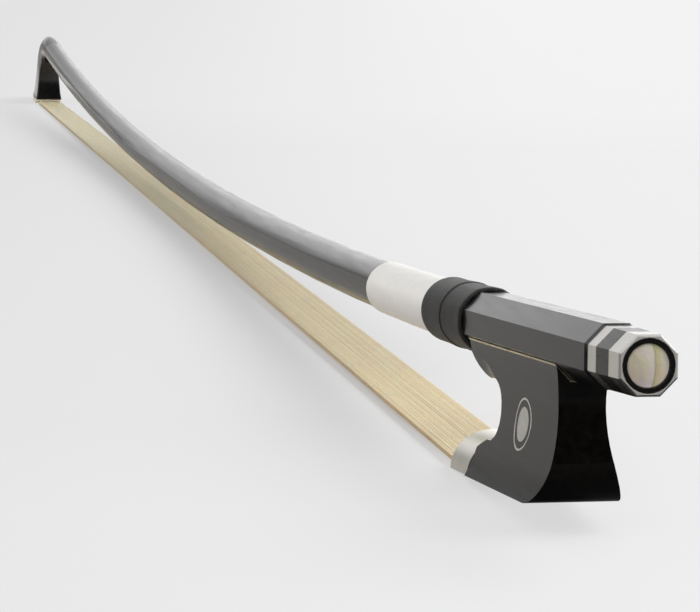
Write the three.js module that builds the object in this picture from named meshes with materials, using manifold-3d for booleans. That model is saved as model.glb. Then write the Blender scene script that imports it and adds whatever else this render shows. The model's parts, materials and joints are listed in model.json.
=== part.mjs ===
// Cello bow with its hair slack, standing hair down. Millimetres.
// It is drawn along its handle: x is 0 at the button's end face and falls towards the tip, z is 0 on the
// handle's axis, and the whole bow is turned at the end so that it stands on its ferrule and tip plate.

import * as THREE from "three";
import { mergeVertices } from "three/addons/utils/BufferGeometryUtils.js";
import Module from "manifold-3d";

const wasm = await Module();
wasm.setup();

// Fits
const SEAT_GAP = 0.05;
const RUN_GAP = 0.1;
const OVERRUN = 2;
const WELD_REACH = 0.00005;

// Button, from its end face towards the stick
const BUTTON_BACK_FLATS = 9.5;
const BUTTON_FRONT_FLATS = 9.9;
const BACK_COLLAR_LENGTH = 4.9;
const FRONT_COLLAR_LENGTH = 3.9;
const EBONY_BAND_LENGTH = 6;
const COLLAR_CHAMFER = 0.3;
const BACK_SPIGOT = 8.45;
const FRONT_SPIGOT = 7.8;
const BUTTON_PEARL = 6.8;
const BUTTON_PEARL_THICK = 1.4;
const BUTTON_PEARL_CROWN = 0.25;
const BUTTON_STAND_OFF = 0.3;

// Screw
const SCREW_DIAMETER = 3.2;
const SCREW_IN_BUTTON = 11.6;
const SCREW_LENGTH = 59.6;
const SCREW_POINT = 1;
const NOSE_DIAMETER = 2;
const NOSE_LENGTH = 6;

// Stick
const STICK_FLATS = 10.5;
const STICK_END_CHAMFER = 0.5;
const NIPPLE_DIAMETER = 5.8;
const NIPPLE_LENGTH = 1.4;
const STICK_BACK_ROUND = 10.2;
const STICK_TIP_ROUND = 6.9;
const OCTAGON_LENGTH = 77;
const OCTAGON_FADE = 16;
const STICK_TO_HEAD = 672.6;
const HANDLE_STRAIGHT = 61.4;
const CAMBER_RISE = 57.1;
const camberShares = [1.082, -0.448, 0.366];

// Head: each row pairs the back of the head with its front ridge, down from the stick to the tip plate
const HEAD_LENGTH = 26;
const HEAD_DEPTH = 25.5;
const HEAD_WIDTH = 9.4;
const HEAD_BLEND = 14;
const headBackShares = [
  [-0.31, 0.69], [-0.155, 0.686], [-0.046, 0.635], [0.023, 0.533], [0.042, 0.41], [0.04, 0.29],
  [0.023, 0.175],
];
const headRidgeShares = [
  [-0.31, 0.968], [-0.04, 0.998], [0.215, 0.982], [0.445, 0.872], [0.625, 0.682], [0.782, 0.43],
  [0.895, 0.225],
];
const headWidthShares = [0.75, 0.765, 0.78, 0.8, 0.825, 0.86, 0.92];
const headBoatShares = [0.05, 0.2, 0.45, 0.7, 0.9, 1, 1];
const boatShares = [
  [0, 0.35], [0, 0.92], [0.02, 1], [0.12, 1], [0.24, 0.99], [0.36, 0.97],
  [0.48, 0.93], [0.6, 0.86], [0.71, 0.66], [0.82, 0.45], [0.92, 0.25], [1, 0.08],
];

// Tip plate and its black liner
const PLATE_THICK = 1.6;
const PLATE_LINER_THICK = 0.5;
const PLATE_RIM = 3;
const PLATE_RIM_THICK = 0.45;
const BEAK_SWEEP = 7;
const BEAK_RISE = 1;

// Mortises that hold the hair, with its knots and plugs
const HEAD_MORTISE_LENGTH = 8.5;
const HEAD_MORTISE_WIDTH = 6.4;
const HEAD_MORTISE_DEPTH = 8.7;
const HEAD_KNOT = 3;
const HEAD_PLUG_DEPTH = 4.8;
const FROG_MORTISE_LENGTH = 6.9;
const FROG_MORTISE_WIDTH = 8;
const FROG_MORTISE_RISE = 7.6;
const FROG_KNOT = 3.2;
const FROG_PLUG_THICK = 1.8;
const MORTISE_TO_THROAT = 0.8;
const PLUG_GAP = 0.2;

// Hair
const HAIR_THICK = 0.9;
const HAIR_TIP_WIDTH = 8.6;
const HAIR_CLEAR = 0.25;
const hairTurnShare = 0.33;

// Lapping and thumb grip
const GRIP_GAP = 3.3;
const GRIP_LENGTH = 12.45;
const GRIP_WALL = 0.8;
const GRIP_ROUND = 0.4;
const BAND_LENGTH = 13.5;
const BAND_WALL = 1;
const LAPPING_LENGTH = 46.9;
const LAPPING_WALL = 0.4;
const LAPPING_ROUND = 0.2;
const rimShares = [[0, 1], [0.134, 0.5], [0.5, 0.134], [1, 0]];
const sleeveSoftShare = 0.75;
const sleeveCornerShare = 1.02;

// Frog, from its heel towards the ferrule and down from the handle's axis
const FROG_SETBACK = 16.2;
const FROG_DEPTH = 26.1;
const FROG_TOP_DROP = 2.2;
const FROG_TOP_LENGTH = 51.6;
const FROG_WAIST = 8.1;
const WAIST_DROP = 9.6;
const SIDE_RADIUS = 35;
const HEEL_HOLLOW = 0.9;
const HEEL_ROUND = 7;
const heelHollowShare = 0.4;
const THROAT_BACK = 32.6;
const THROAT_FLOOR = 19.4;
const throatShares = [
  [1, 0.194], [0.856, 0.262], [0.672, 0.303], [0.464, 0.322], [0.229, 0.331], [0.075, 0.402],
  [0.011, 0.517], [0, 0.605], [0.043, 0.69], [0.15, 0.735],
];
const NECK_LENGTH = 7;
const neckWidthShare = 1.3;
const neckHeightShare = 1.39;

// Metal liner of the frog's seat on the stick, with its pins
const LINER_THICK = 0.2;
const LINER_PIN = 1.2;
const LINER_PIN_LENGTH = 1.7;
const LINER_PIN_INSET = 4.5;

// Eyes on both sides of the frog
const EYE_SETBACK = 19.4;
const EYE_DROP = 14.6;
const EYE_RING = 9.1;
const EYE_RING_WALL = 0.4;
const EYE_PEARL = 6;
const INLAY_DEPTH = 0.9;

// Ferrule, wedge and slide
const FERRULE_LEAD = 0.9;
const FERRULE_LENGTH = 10.7;
const FERRULE_WIDTH = 15.6;
const FERRULE_HEIGHT = 6.9;
const FERRULE_WALL = 0.55;
const TONGUE_RISE = 3.3;
const TONGUE_SHORT = 0.6;
const WEDGE_LENGTH = 8.6;
const WEDGE_WIDTH = 11;
const SLIDE_SETBACK = 10.4;
const SLIDE_WIDTH = 10.4;
const SLIDE_FLARE = 0.55;
const SLIDE_BASE_THICK = 1.1;
const SLIDE_PEARL_THICK = 0.8;
const HAIR_CHANNEL_RISE = 3.4;
const HAIR_CHANNEL_WIDTH = 10;

// Eyelet and its travel on the screw
const EYELET_SETBACK = 19.7;
const EYELET_LENGTH = 6.4;
const EYELET_WIDTH = 4;
const EYELET_RISE = 2.9;
const EYELET_STEM = 3.6;
const EYELET_STEM_LENGTH = 6;
const EYELET_MORTISE_SPARE = 0.8;
const EYELET_SIDE_GAP = 0.35;
const FROG_TRAVEL = 5.6;

// Fineness of the curves
const ROUND_STEPS = 32;
const SECTION_STEPS = 24;
const FADE_RINGS = 6;
const STICK_RINGS = 30;
const HEAD_RINGS = 22;
const SIDE_STEPS = 12;
const CURVE_STEPS = 26;

// Places along the bow, as distances from the button's end face, and heights over the handle's axis
const BUTTON_LENGTH = BACK_COLLAR_LENGTH + EBONY_BAND_LENGTH + FRONT_COLLAR_LENGTH;
const STICK_END = BUTTON_LENGTH + BUTTON_STAND_OFF;
const CAMBER_START = STICK_END + HANDLE_STRAIGHT;
const HEAD_BACK = STICK_END + STICK_TO_HEAD;
const FROG_HEEL = STICK_END + FROG_SETBACK;
const FROG_TOP_FRONT = FROG_HEEL + FROG_TOP_LENGTH;
const FERRULE_FRONT = FROG_TOP_FRONT + FERRULE_LEAD;
const FERRULE_BACK = FERRULE_FRONT - FERRULE_LENGTH;
const FROG_REACH = FERRULE_FRONT + OVERRUN;
const THROAT_WALL = FROG_HEEL + THROAT_BACK;
const GRIP_BACK = FROG_TOP_FRONT + GRIP_GAP;
const BAND_BACK = GRIP_BACK + GRIP_LENGTH + SEAT_GAP;
const LAPPING_BACK = BAND_BACK + BAND_LENGTH + SEAT_GAP;
const EYELET_PLACE = FROG_HEEL + EYELET_SETBACK;
const FLAT = STICK_FLATS / 2;
const LINER_INNER = FLAT + RUN_GAP;
const FROG_SEAT = LINER_INNER + LINER_THICK + SEAT_GAP;
const SCREW_BACK = BUTTON_LENGTH - SCREW_IN_BUTTON;
const SCREW_TIP = SCREW_BACK + SCREW_LENGTH;
const HEAD_FOOT = PLATE_THICK + PLATE_LINER_THICK + 2 * SEAT_GAP;
const SLIDE_TOP = FROG_DEPTH - SLIDE_PEARL_THICK - SLIDE_BASE_THICK - SEAT_GAP;
const HAIR_IN_CHANNEL = -SLIDE_TOP + HAIR_CLEAR + HAIR_THICK / 2;
const HAIR_AT_MOUTH = FERRULE_WALL + HAIR_CLEAR + HAIR_THICK / 2 - FROG_DEPTH;
const HAIR_AT_TIP = PLATE_THICK - PLATE_RIM_THICK - HAIR_CLEAR / 2 - HAIR_THICK / 2;
const HEAD_BASE = camber(HEAD_BACK) + STICK_TIP_ROUND / 2 - HEAD_DEPTH;
const REST_ANGLE = Math.atan2(HEAD_BASE + FROG_DEPTH, HEAD_BACK - FERRULE_FRONT);
const HEAD_MATRIX = new THREE.Matrix4()
  .makeTranslation(-HEAD_BACK, 0, HEAD_BASE)
  .multiply(new THREE.Matrix4().makeRotationY(REST_ANGLE));

// A closed mesh as a solid, turned face outwards
function solidOf(geometry) {
  const bare = new THREE.BufferGeometry();
  bare.setAttribute("position", geometry.getAttribute("position").clone());
  if (geometry.index) bare.setIndex(Array.from(geometry.index.array));
  const merged = mergeVertices(bare, WELD_REACH);
  const points = merged.getAttribute("position").array;
  const corners = keepRealFaces(Array.from(merged.index.array));
  if (signedVolume(points, corners) < 0) corners.reverse();
  return new wasm.Manifold(new wasm.Mesh({
    numProp: 3,
    vertProperties: new Float32Array(points),
    triVerts: new Uint32Array(corners),
  }));
}

// Faces that merging has folded to a line are left out
function keepRealFaces(corners) {
  const kept = [];
  for (let i = 0; i < corners.length; i += 3) {
    const [a, b, c] = corners.slice(i, i + 3);
    if (a !== b && b !== c && c !== a) kept.push(a, b, c);
  }
  return kept;
}

function signedVolume(points, corners) {
  const at = (index) => new THREE.Vector3().fromArray(points, index * 3);
  let volume = 0;
  for (let i = 0; i < corners.length; i += 3) {
    volume += at(corners[i]).cross(at(corners[i + 1])).dot(at(corners[i + 2]));
  }
  return volume;
}

// A solid as a flat-shaded mesh geometry
function geometryOf(solid) {
  const mesh = solid.getMesh();
  const geometry = new THREE.BufferGeometry();
  geometry.setAttribute("position", new THREE.BufferAttribute(new Float32Array(mesh.vertProperties), 3));
  geometry.setIndex(Array.from(mesh.triVerts));
  const flat = geometry.toNonIndexed();
  flat.computeVertexNormals();
  return flat;
}

// Skin over a row of rings that all have the same number of points, closed at both ends
function loft(rings) {
  const count = rings[0].length;
  const points = rings.flat().flatMap((point) => point.toArray());
  const corners = [];
  for (let row = 0; row + 1 < rings.length; row += 1) {
    for (let i = 0; i < count; i += 1) {
      const a = row * count + i;
      const b = row * count + (i + 1) % count;
      corners.push(a, b, b + count, a, b + count, a + count);
    }
  }
  closeEnd(points, corners, rings[0], 0, true);
  closeEnd(points, corners, rings[rings.length - 1], (rings.length - 1) * count, false);
  const geometry = new THREE.BufferGeometry();
  geometry.setAttribute("position", new THREE.Float32BufferAttribute(points, 3));
  geometry.setIndex(corners);
  return solidOf(geometry);
}

function closeEnd(points, corners, ring, start, flip) {
  const middle = ring.reduce((sum, point) => sum.add(point), new THREE.Vector3());
  middle.divideScalar(ring.length);
  const centre = points.length / 3;
  points.push(...middle.toArray());
  for (let i = 0; i < ring.length; i += 1) {
    const a = start + i;
    const b = start + (i + 1) % ring.length;
    corners.push(...(flip ? [centre, b, a] : [centre, a, b]));
  }
}

// A side view, drawn as distance and height, given a width across the bow
function slabOf(outline, width) {
  const shape = new THREE.Shape(outline.map(([distance, height]) => new THREE.Vector2(-distance, height)));
  const geometry = new THREE.ExtrudeGeometry(shape, { depth: width, bevelEnabled: false });
  geometry.rotateX(Math.PI / 2);
  geometry.translate(0, width / 2, 0);
  return solidOf(geometry);
}

// A cross-section, drawn as sideways place and height, run along the bow from one distance to another
function barOf(outline, from, to) {
  const shape = new THREE.Shape(outline.map(([side, height]) => new THREE.Vector2(side, height)));
  const geometry = new THREE.ExtrudeGeometry(shape, { depth: to - from, bevelEnabled: false });
  geometry.applyMatrix4(new THREE.Matrix4().makeBasis(
    new THREE.Vector3(0, 1, 0), new THREE.Vector3(0, 0, 1), new THREE.Vector3(1, 0, 0),
  ));
  geometry.translate(-to, 0, 0);
  return solidOf(geometry);
}

// A box between two distances and two heights
function blockOf(from, to, width, low, high) {
  return slabOf([[from, low], [to, low], [to, high], [from, high]], width);
}

// Rows of distance and radius, turned about the handle's axis
function turnedOf(rows) {
  const profile = rows.map(([distance, radius]) => new THREE.Vector2(radius, -distance));
  const geometry = new THREE.LatheGeometry(profile, ROUND_STEPS);
  geometry.rotateZ(-Math.PI / 2);
  return solidOf(geometry);
}

function rodOf(from, to, diameter) {
  return turnedOf([[from, 0], [from, diameter / 2], [to, diameter / 2], [to, 0]]);
}

// A round pin between two points
function pinOf(from, to, diameter) {
  const along = new THREE.Vector3().subVectors(to, from);
  const geometry = new THREE.CylinderGeometry(diameter / 2, diameter / 2, along.length(), ROUND_STEPS);
  const turn = new THREE.Quaternion().setFromUnitVectors(
    new THREE.Vector3(0, 1, 0), along.clone().normalize(),
  );
  geometry.applyQuaternion(turn);
  geometry.translate(...from.clone().add(to).divideScalar(2).toArray());
  return solidOf(geometry);
}

function subtractAll(solid, cutters) {
  return cutters.reduce((rest, cutter) => rest.subtract(cutter), solid);
}

function mix(from, to, share) {
  return from + (to - from) * share;
}

// Section with eight sides, its flats facing up and down
function octagonRadius(apothem, angle) {
  const facet = Math.PI / 4;
  const turn = ((angle % facet) + facet) % facet;
  return apothem / Math.cos(Math.min(turn, facet - turn));
}

function octagonOf(apothem) {
  const corners = [];
  for (let i = 0; i < 8; i += 1) {
    const angle = (i + 0.5) * Math.PI / 4;
    const radius = octagonRadius(apothem, angle);
    corners.push([radius * Math.sin(angle), radius * Math.cos(angle)]);
  }
  return corners;
}

// Rows of distance and width across flats, skinned as an eight-sided bar
function octagonBar(rows) {
  return loft(rows.map(([distance, flats]) => octagonOf(flats / 2).map(
    ([side, height]) => new THREE.Vector3(-distance, side, height),
  )));
}

// Bend of the stick: its axis stays straight along the handle, then rises towards the tip
function camber(distance) {
  const run = Math.max(distance - CAMBER_START, 0) / (HEAD_BACK - CAMBER_START);
  const [square, cube, fourth] = camberShares;
  return CAMBER_RISE * (square * run ** 2 + cube * run ** 3 + fourth * run ** 4);
}

function camberSlope(distance) {
  const span = HEAD_BACK - CAMBER_START;
  const run = Math.max(distance - CAMBER_START, 0) / span;
  const [square, cube, fourth] = camberShares;
  return CAMBER_RISE / span * (2 * square * run + 3 * cube * run ** 2 + 4 * fourth * run ** 3);
}

function stickAxis(distance) {
  return new THREE.Vector3(-distance, 0, camber(distance));
}

function stickUp(distance) {
  return new THREE.Vector3(camberSlope(distance), 0, 1).normalize();
}

function stickRadius(distance, angle) {
  const fadeStart = STICK_END + OCTAGON_LENGTH;
  const fade = THREE.MathUtils.clamp((distance - fadeStart) / OCTAGON_FADE, 0, 1);
  const roundStart = fadeStart + OCTAGON_FADE;
  const taper = THREE.MathUtils.clamp((distance - roundStart) / (HEAD_BACK - roundStart), 0, 1);
  const round = mix(STICK_BACK_ROUND, STICK_TIP_ROUND, taper) / 2;
  return mix(octagonRadius(FLAT, angle), round, fade);
}

function sectionAngle(index) {
  return (index + 0.5) * 2 * Math.PI / SECTION_STEPS;
}

// Ring round the stick, starting beside its underside; swell stands off its surface
function stickRing(distance, swell) {
  const ring = [];
  const up = stickUp(distance);
  for (let i = 0; i < SECTION_STEPS; i += 1) {
    const angle = sectionAngle(i);
    const radius = stickRadius(distance, angle) + swell;
    const point = stickAxis(distance).addScaledVector(up, -radius * Math.cos(angle));
    point.y = radius * Math.sin(angle);
    ring.push(point);
  }
  return ring;
}

function stickRings(from, to, count, swell) {
  const rings = [];
  for (let i = 0; i <= count; i += 1) rings.push(stickRing(mix(from, to, i / count), swell));
  return rings;
}

// A point of the head, given as distance forward of its back foot and height over the tip plate's face
function headPoint(forward, side, height) {
  return new THREE.Vector3(-forward, side, height).applyMatrix4(HEAD_MATRIX);
}

function headCurve(rows, blendPoint, footForward) {
  const points = rows.map(([along, rise]) => headPoint(along * HEAD_LENGTH, 0, rise * HEAD_DEPTH));
  return new THREE.CatmullRomCurve3([blendPoint, ...points, headPoint(footForward, 0, HEAD_FOOT)]);
}

function tableAt(values, position) {
  const index = Math.min(Math.floor(position), values.length - 2);
  return mix(values[index], values[index + 1], position - index);
}

// One section of the head, from its back edge to its ridge: round like the stick above, a boat below
function headRing(back, ridge, halfWidth, boat) {
  const ring = [];
  for (let i = 0; i < SECTION_STEPS; i += 1) {
    const half = i < SECTION_STEPS / 2;
    const angle = sectionAngle(i);
    const [boatAlong, boatSide] = boatShares[half ? i : SECTION_STEPS - 1 - i];
    const along = mix((1 - Math.cos(angle)) / 2, boatAlong, boat);
    const side = mix(Math.abs(Math.sin(angle)), boatSide, boat) * halfWidth;
    const point = back.clone().lerp(ridge, along);
    point.y = half ? side : -side;
    ring.push(point);
  }
  return ring;
}

function headRings() {
  const start = HEAD_BACK - HEAD_BLEND;
  const up = stickUp(start);
  const radius = stickRadius(start, 0);
  const backCurve = headCurve(headBackShares, stickAxis(start).addScaledVector(up, -radius), 0);
  const ridgeCurve = headCurve(headRidgeShares, stickAxis(start).addScaledVector(up, radius), HEAD_LENGTH);
  const widths = [2 * radius, ...headWidthShares.map((share) => share * HEAD_WIDTH), HEAD_WIDTH];
  const boats = [0, ...headBoatShares, 1];
  const rings = [];
  for (let i = 1; i <= HEAD_RINGS; i += 1) {
    const share = i / HEAD_RINGS;
    const position = share * (widths.length - 1);
    rings.push(headRing(
      backCurve.getPoint(share), ridgeCurve.getPoint(share),
      tableAt(widths, position) / 2, tableAt(boats, position),
    ));
  }
  return rings;
}

function inHead(solid) {
  return solid.transform(HEAD_MATRIX.elements);
}

// Rings of the stick up to its head: eight-sided at the handle, fading to round under the grip
function stickBodyRings(swell) {
  const fadeStart = STICK_END + OCTAGON_LENGTH;
  const fadeEnd = fadeStart + OCTAGON_FADE;
  return [
    stickRing(STICK_END + STICK_END_CHAMFER, swell),
    stickRing(CAMBER_START, swell),
    ...stickRings(fadeStart, fadeEnd, FADE_RINGS, swell),
    ...stickRings(fadeEnd, HEAD_BACK - HEAD_BLEND, STICK_RINGS, swell).slice(1),
  ];
}

function stickBlank() {
  return loft([stickRing(STICK_END, -STICK_END_CHAMFER), ...stickBodyRings(0), ...headRings()]);
}

// Bore for the screw, narrower at its far end where the screw's nose runs
function screwBore() {
  const wide = SCREW_DIAMETER / 2 + RUN_GAP;
  const narrow = NOSE_DIAMETER / 2 + RUN_GAP;
  const mouth = STICK_END - NIPPLE_LENGTH - OVERRUN;
  const step = SCREW_TIP + RUN_GAP;
  const end = SCREW_TIP + NOSE_LENGTH + OVERRUN;
  return turnedOf([[mouth, 0], [mouth, wide], [step, wide], [step, narrow], [end, narrow], [end, 0]]);
}

// Mortise in which the eyelet travels with the frog
function eyeletMortise() {
  const room = EYELET_LENGTH / 2 + EYELET_MORTISE_SPARE;
  return blockOf(
    EYELET_PLACE - FROG_TRAVEL - room, EYELET_PLACE + room,
    EYELET_WIDTH + 2 * EYELET_SIDE_GAP, -FLAT - OVERRUN, EYELET_RISE + EYELET_SIDE_GAP,
  );
}

// Stick and head in one piece, with a nipple that centres the button
function makeStick() {
  const nipple = rodOf(STICK_END - NIPPLE_LENGTH, STICK_END + OVERRUN, NIPPLE_DIAMETER);
  const hairMortise = inHead(blockOf(
    PLATE_RIM, PLATE_RIM + HEAD_MORTISE_LENGTH, HEAD_MORTISE_WIDTH, -OVERRUN, HEAD_MORTISE_DEPTH,
  ));
  return subtractAll(stickBlank().add(nipple), [screwBore(), eyeletMortise(), hairMortise]);
}

// Outline of the tip plate seen from below, as distance forward and sideways place
function boatOutline() {
  const side = boatShares.map(([along, wide]) => [along * HEAD_LENGTH, wide * HEAD_WIDTH / 2]);
  const other = side.map(([along, wide]) => [along, -wide]).reverse();
  return [...side, ...other];
}

function boatPrism(low, high) {
  const outline = boatOutline();
  const ringAt = (height) => outline.map(([along, wide]) => new THREE.Vector3(-along, wide, height));
  return loft([ringAt(low), ringAt(high)]);
}

function plateMortise() {
  return blockOf(
    PLATE_RIM, PLATE_RIM + HEAD_MORTISE_LENGTH, HEAD_MORTISE_WIDTH, -OVERRUN, HEAD_FOOT + OVERRUN,
  );
}

// White plate: its rim behind the mortise is filed down for the hair, and its beak sweeps up
function makeTipPlate() {
  const rim = PLATE_THICK - PLATE_RIM_THICK;
  const sweep = new THREE.QuadraticBezierCurve(
    new THREE.Vector2(HEAD_LENGTH - BEAK_SWEEP, 0),
    new THREE.Vector2(HEAD_LENGTH - BEAK_SWEEP / 2, 0),
    new THREE.Vector2(HEAD_LENGTH, BEAK_RISE),
  );
  const side = slabOf([
    [-OVERRUN, rim], [PLATE_RIM, rim], [PLATE_RIM, 0],
    ...sweep.getPoints(SIDE_STEPS / 2).map((point) => point.toArray()),
    [HEAD_LENGTH + OVERRUN, BEAK_RISE], [HEAD_LENGTH + OVERRUN, PLATE_THICK], [-OVERRUN, PLATE_THICK],
  ], HEAD_WIDTH + OVERRUN);
  return boatPrism(0, PLATE_THICK).intersect(side).subtract(plateMortise());
}

function makePlateLiner() {
  const low = PLATE_THICK + SEAT_GAP;
  return boatPrism(low, low + PLATE_LINER_THICK).subtract(plateMortise());
}

function knotOf(place, radius, width) {
  const half = new THREE.Vector3(0, width / 2, 0);
  return pinOf(place.clone().sub(half), place.clone().add(half), 2 * radius);
}

function makeHeadKnot() {
  const forward = PLATE_RIM + HAIR_CLEAR + HAIR_THICK + PLUG_GAP + HEAD_KNOT / 2;
  const height = HEAD_MORTISE_DEPTH - PLUG_GAP - HEAD_KNOT / 2;
  return knotOf(new THREE.Vector3(-forward, 0, height), HEAD_KNOT / 2, HEAD_MORTISE_WIDTH - 2 * PLUG_GAP);
}

function makeHeadPlug() {
  return blockOf(
    PLATE_RIM + HAIR_CLEAR + HAIR_THICK + PLUG_GAP, PLATE_RIM + HEAD_MORTISE_LENGTH - PLUG_GAP,
    HEAD_MORTISE_WIDTH - 2 * PLUG_GAP, PLUG_GAP, PLUG_GAP + HEAD_PLUG_DEPTH,
  );
}

// Ring of a sleeve's outside: it softens the eight corners of the handle under it
function sleeveRing(distance, swell) {
  const middle = stickAxis(distance);
  const flat = stickRadius(distance, 0) + swell;
  return stickRing(distance, swell).map((point, index) => {
    const radius = stickRadius(distance, sectionAngle(index)) + swell;
    const softened = mix(radius, flat * sleeveCornerShare, sleeveSoftShare);
    return middle.clone().lerp(point, softened / radius);
  });
}

// A sleeve on the stick, with rounded rims
function sleeveOf(from, length, wall, round) {
  const rim = rimShares.map(([along, fall]) => [along * round, wall - fall * round]);
  const farRim = rim.map(([along, swell]) => [length - along, swell]).reverse();
  const rows = [...rim, [length / 2, wall], ...farRim];
  const outer = loft(rows.map(([along, swell]) => sleeveRing(from + along, swell)));
  return outer.subtract(loft(stickBodyRings(SEAT_GAP)));
}

// Half width of the frog at a height: its sides are hollowed on one long arc
function frogHalfWidth(height) {
  const drop = height + WAIST_DROP;
  return FROG_WAIST / 2 + SIDE_RADIUS - Math.sqrt(SIDE_RADIUS ** 2 - drop ** 2);
}

function frogSection() {
  const side = [];
  for (let i = 0; i <= SIDE_STEPS; i += 1) {
    const height = mix(-FROG_TOP_DROP, -FROG_DEPTH, i / SIDE_STEPS);
    side.push([frogHalfWidth(height), height]);
  }
  const other = side.map(([wide, height]) => [-wide, height]).reverse();
  return [...side, ...other];
}

function curveRows(points) {
  const spline = new THREE.SplineCurve(points.map((point) => new THREE.Vector2(...point)));
  return spline.getPoints(CURVE_STEPS).map((point) => point.toArray());
}

function throatRows() {
  const reach = FROG_TOP_FRONT - THROAT_WALL;
  return curveRows(throatShares.map(([along, drop]) => [
    THROAT_WALL + along * reach, -drop * FROG_DEPTH,
  ]));
}

// Back of the frog: slightly hollow, then round under the heel
function heelRows() {
  const roundTop = HEEL_ROUND - FROG_DEPTH;
  const hollow = mix(-FROG_TOP_DROP, roundTop, heelHollowShare);
  const back = curveRows([
    [FROG_HEEL, roundTop], [FROG_HEEL + HEEL_HOLLOW, hollow], [FROG_HEEL, -FROG_TOP_DROP],
  ]);
  const round = [];
  for (let i = 0; i < SIDE_STEPS; i += 1) {
    const angle = (i / SIDE_STEPS) * Math.PI / 2;
    round.push([
      FROG_HEEL + HEEL_ROUND * (1 - Math.sin(angle)), roundTop - HEEL_ROUND * Math.cos(angle),
    ]);
  }
  return [...round, ...back];
}

function frogOutline() {
  return [
    [FROG_TOP_FRONT, -FROG_TOP_DROP],
    ...throatRows(),
    [FERRULE_BACK, -THROAT_FLOOR],
    [FERRULE_BACK, -FROG_DEPTH],
    ...heelRows(),
  ];
}

// Upper half of an ellipse over the frog's underside, as the ferrule is
function archOf(halfWidth, height, floor) {
  const rows = [];
  for (let i = 0; i <= SECTION_STEPS; i += 1) {
    const angle = Math.PI * i / SECTION_STEPS;
    rows.push([halfWidth * Math.cos(angle), floor + height * Math.sin(angle)]);
  }
  return rows;
}

// The frog's front shoulder, drawn in to the ferrule's arch
function neckTrim() {
  const arch = (widthShare, heightShare, distance) => archOf(
    widthShare * FERRULE_WIDTH / 2, heightShare * FERRULE_HEIGHT, -FROG_DEPTH,
  ).map(([side, height]) => new THREE.Vector3(-distance, side, height));
  const cone = loft([
    arch(neckWidthShare, neckHeightShare, FERRULE_BACK - NECK_LENGTH - OVERRUN),
    arch(1, 1, FERRULE_BACK + OVERRUN),
  ]);
  const around = blockOf(
    FERRULE_BACK - NECK_LENGTH, FERRULE_BACK + OVERRUN, 2 * FERRULE_WIDTH, -FROG_DEPTH - OVERRUN,
    -THROAT_FLOOR + OVERRUN,
  );
  return around.subtract(cone);
}

function frogBlank() {
  const side = slabOf(frogOutline(), 2 * FERRULE_WIDTH);
  const section = barOf(frogSection(), FROG_HEEL - OVERRUN, FROG_REACH);
  return side.intersect(section).subtract(neckTrim());
}

// Tongue of the frog inside the ferrule
function frogTongue() {
  const inside = SEAT_GAP + FERRULE_WALL;
  const arch = barOf(
    archOf(FERRULE_WIDTH / 2 - inside, FERRULE_HEIGHT - inside, -FROG_DEPTH),
    FERRULE_BACK - OVERRUN, FERRULE_FRONT - TONGUE_SHORT,
  );
  const under = blockOf(
    FERRULE_BACK - 2 * OVERRUN, FERRULE_FRONT + OVERRUN, 2 * FERRULE_WIDTH,
    -FROG_DEPTH - OVERRUN, TONGUE_RISE - FROG_DEPTH,
  );
  return arch.subtract(under);
}

// Axis of an eye inlay: square to the frog's side, at its centre
function eyeAxis(side) {
  const below = EYE_DROP - WAIST_DROP;
  const flare = below / Math.sqrt(SIDE_RADIUS ** 2 - below ** 2);
  const outward = new THREE.Vector3(0, side, flare).normalize();
  const centre = new THREE.Vector3(-FROG_HEEL - EYE_SETBACK, side * frogHalfWidth(-EYE_DROP), -EYE_DROP);
  return { centre, outward };
}

function eyePlug(side, diameter, depth) {
  const { centre, outward } = eyeAxis(side);
  const bottom = centre.clone().addScaledVector(outward, -depth);
  return pinOf(bottom, centre.clone().addScaledVector(outward, OVERRUN), diameter);
}

function eyeRingTool(side, spread, depth) {
  const outer = eyePlug(side, EYE_RING + 2 * spread, depth);
  return outer.subtract(eyePlug(side, EYE_RING - 2 * EYE_RING_WALL - 2 * spread, depth + OVERRUN));
}

function eyeCuts(side) {
  const depth = INLAY_DEPTH + SEAT_GAP;
  return [eyeRingTool(side, SEAT_GAP, depth), eyePlug(side, EYE_PEARL + 2 * SEAT_GAP, depth)];
}

// Room for the slide: a dovetail from the ferrule's seat back towards the heel
function slideSection(spread, low) {
  const half = SLIDE_WIDTH / 2 + spread;
  const shoulder = SLIDE_BASE_THICK + SLIDE_TOP - spread;
  return [
    [half, -low], [half, -shoulder], [half + SLIDE_FLARE, -SLIDE_TOP + spread],
    [-half - SLIDE_FLARE, -SLIDE_TOP + spread], [-half, -shoulder], [-half, -low],
  ];
}

function frogMortiseFront() {
  return THROAT_WALL - MORTISE_TO_THROAT;
}

function hairCuts() {
  const slideRoom = barOf(
    slideSection(SEAT_GAP, FROG_DEPTH + OVERRUN), FROG_HEEL + SLIDE_SETBACK - SEAT_GAP, FERRULE_FRONT,
  );
  const front = frogMortiseFront();
  const mortise = blockOf(
    front - FROG_MORTISE_LENGTH, front, FROG_MORTISE_WIDTH, -FROG_DEPTH, FROG_MORTISE_RISE - FROG_DEPTH,
  );
  const channel = blockOf(
    front - FROG_MORTISE_LENGTH, FERRULE_BACK + OVERRUN, HAIR_CHANNEL_WIDTH, -FROG_DEPTH,
    HAIR_CHANNEL_RISE - FROG_DEPTH,
  );
  return [slideRoom, mortise, channel];
}

function eyeletCuts() {
  const seat = blockOf(
    EYELET_PLACE - EYELET_LENGTH / 2 - SEAT_GAP, EYELET_PLACE + EYELET_LENGTH / 2 + SEAT_GAP,
    EYELET_WIDTH + 2 * SEAT_GAP, -FROG_SEAT - LINER_THICK, 0,
  );
  const stemTop = new THREE.Vector3(-EYELET_PLACE, 0, -FLAT);
  const stemEnd = new THREE.Vector3(-EYELET_PLACE, 0, -FROG_SEAT - EYELET_STEM_LENGTH - SEAT_GAP);
  return [seat, pinOf(stemEnd, stemTop, EYELET_STEM + 2 * SEAT_GAP)];
}

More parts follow.
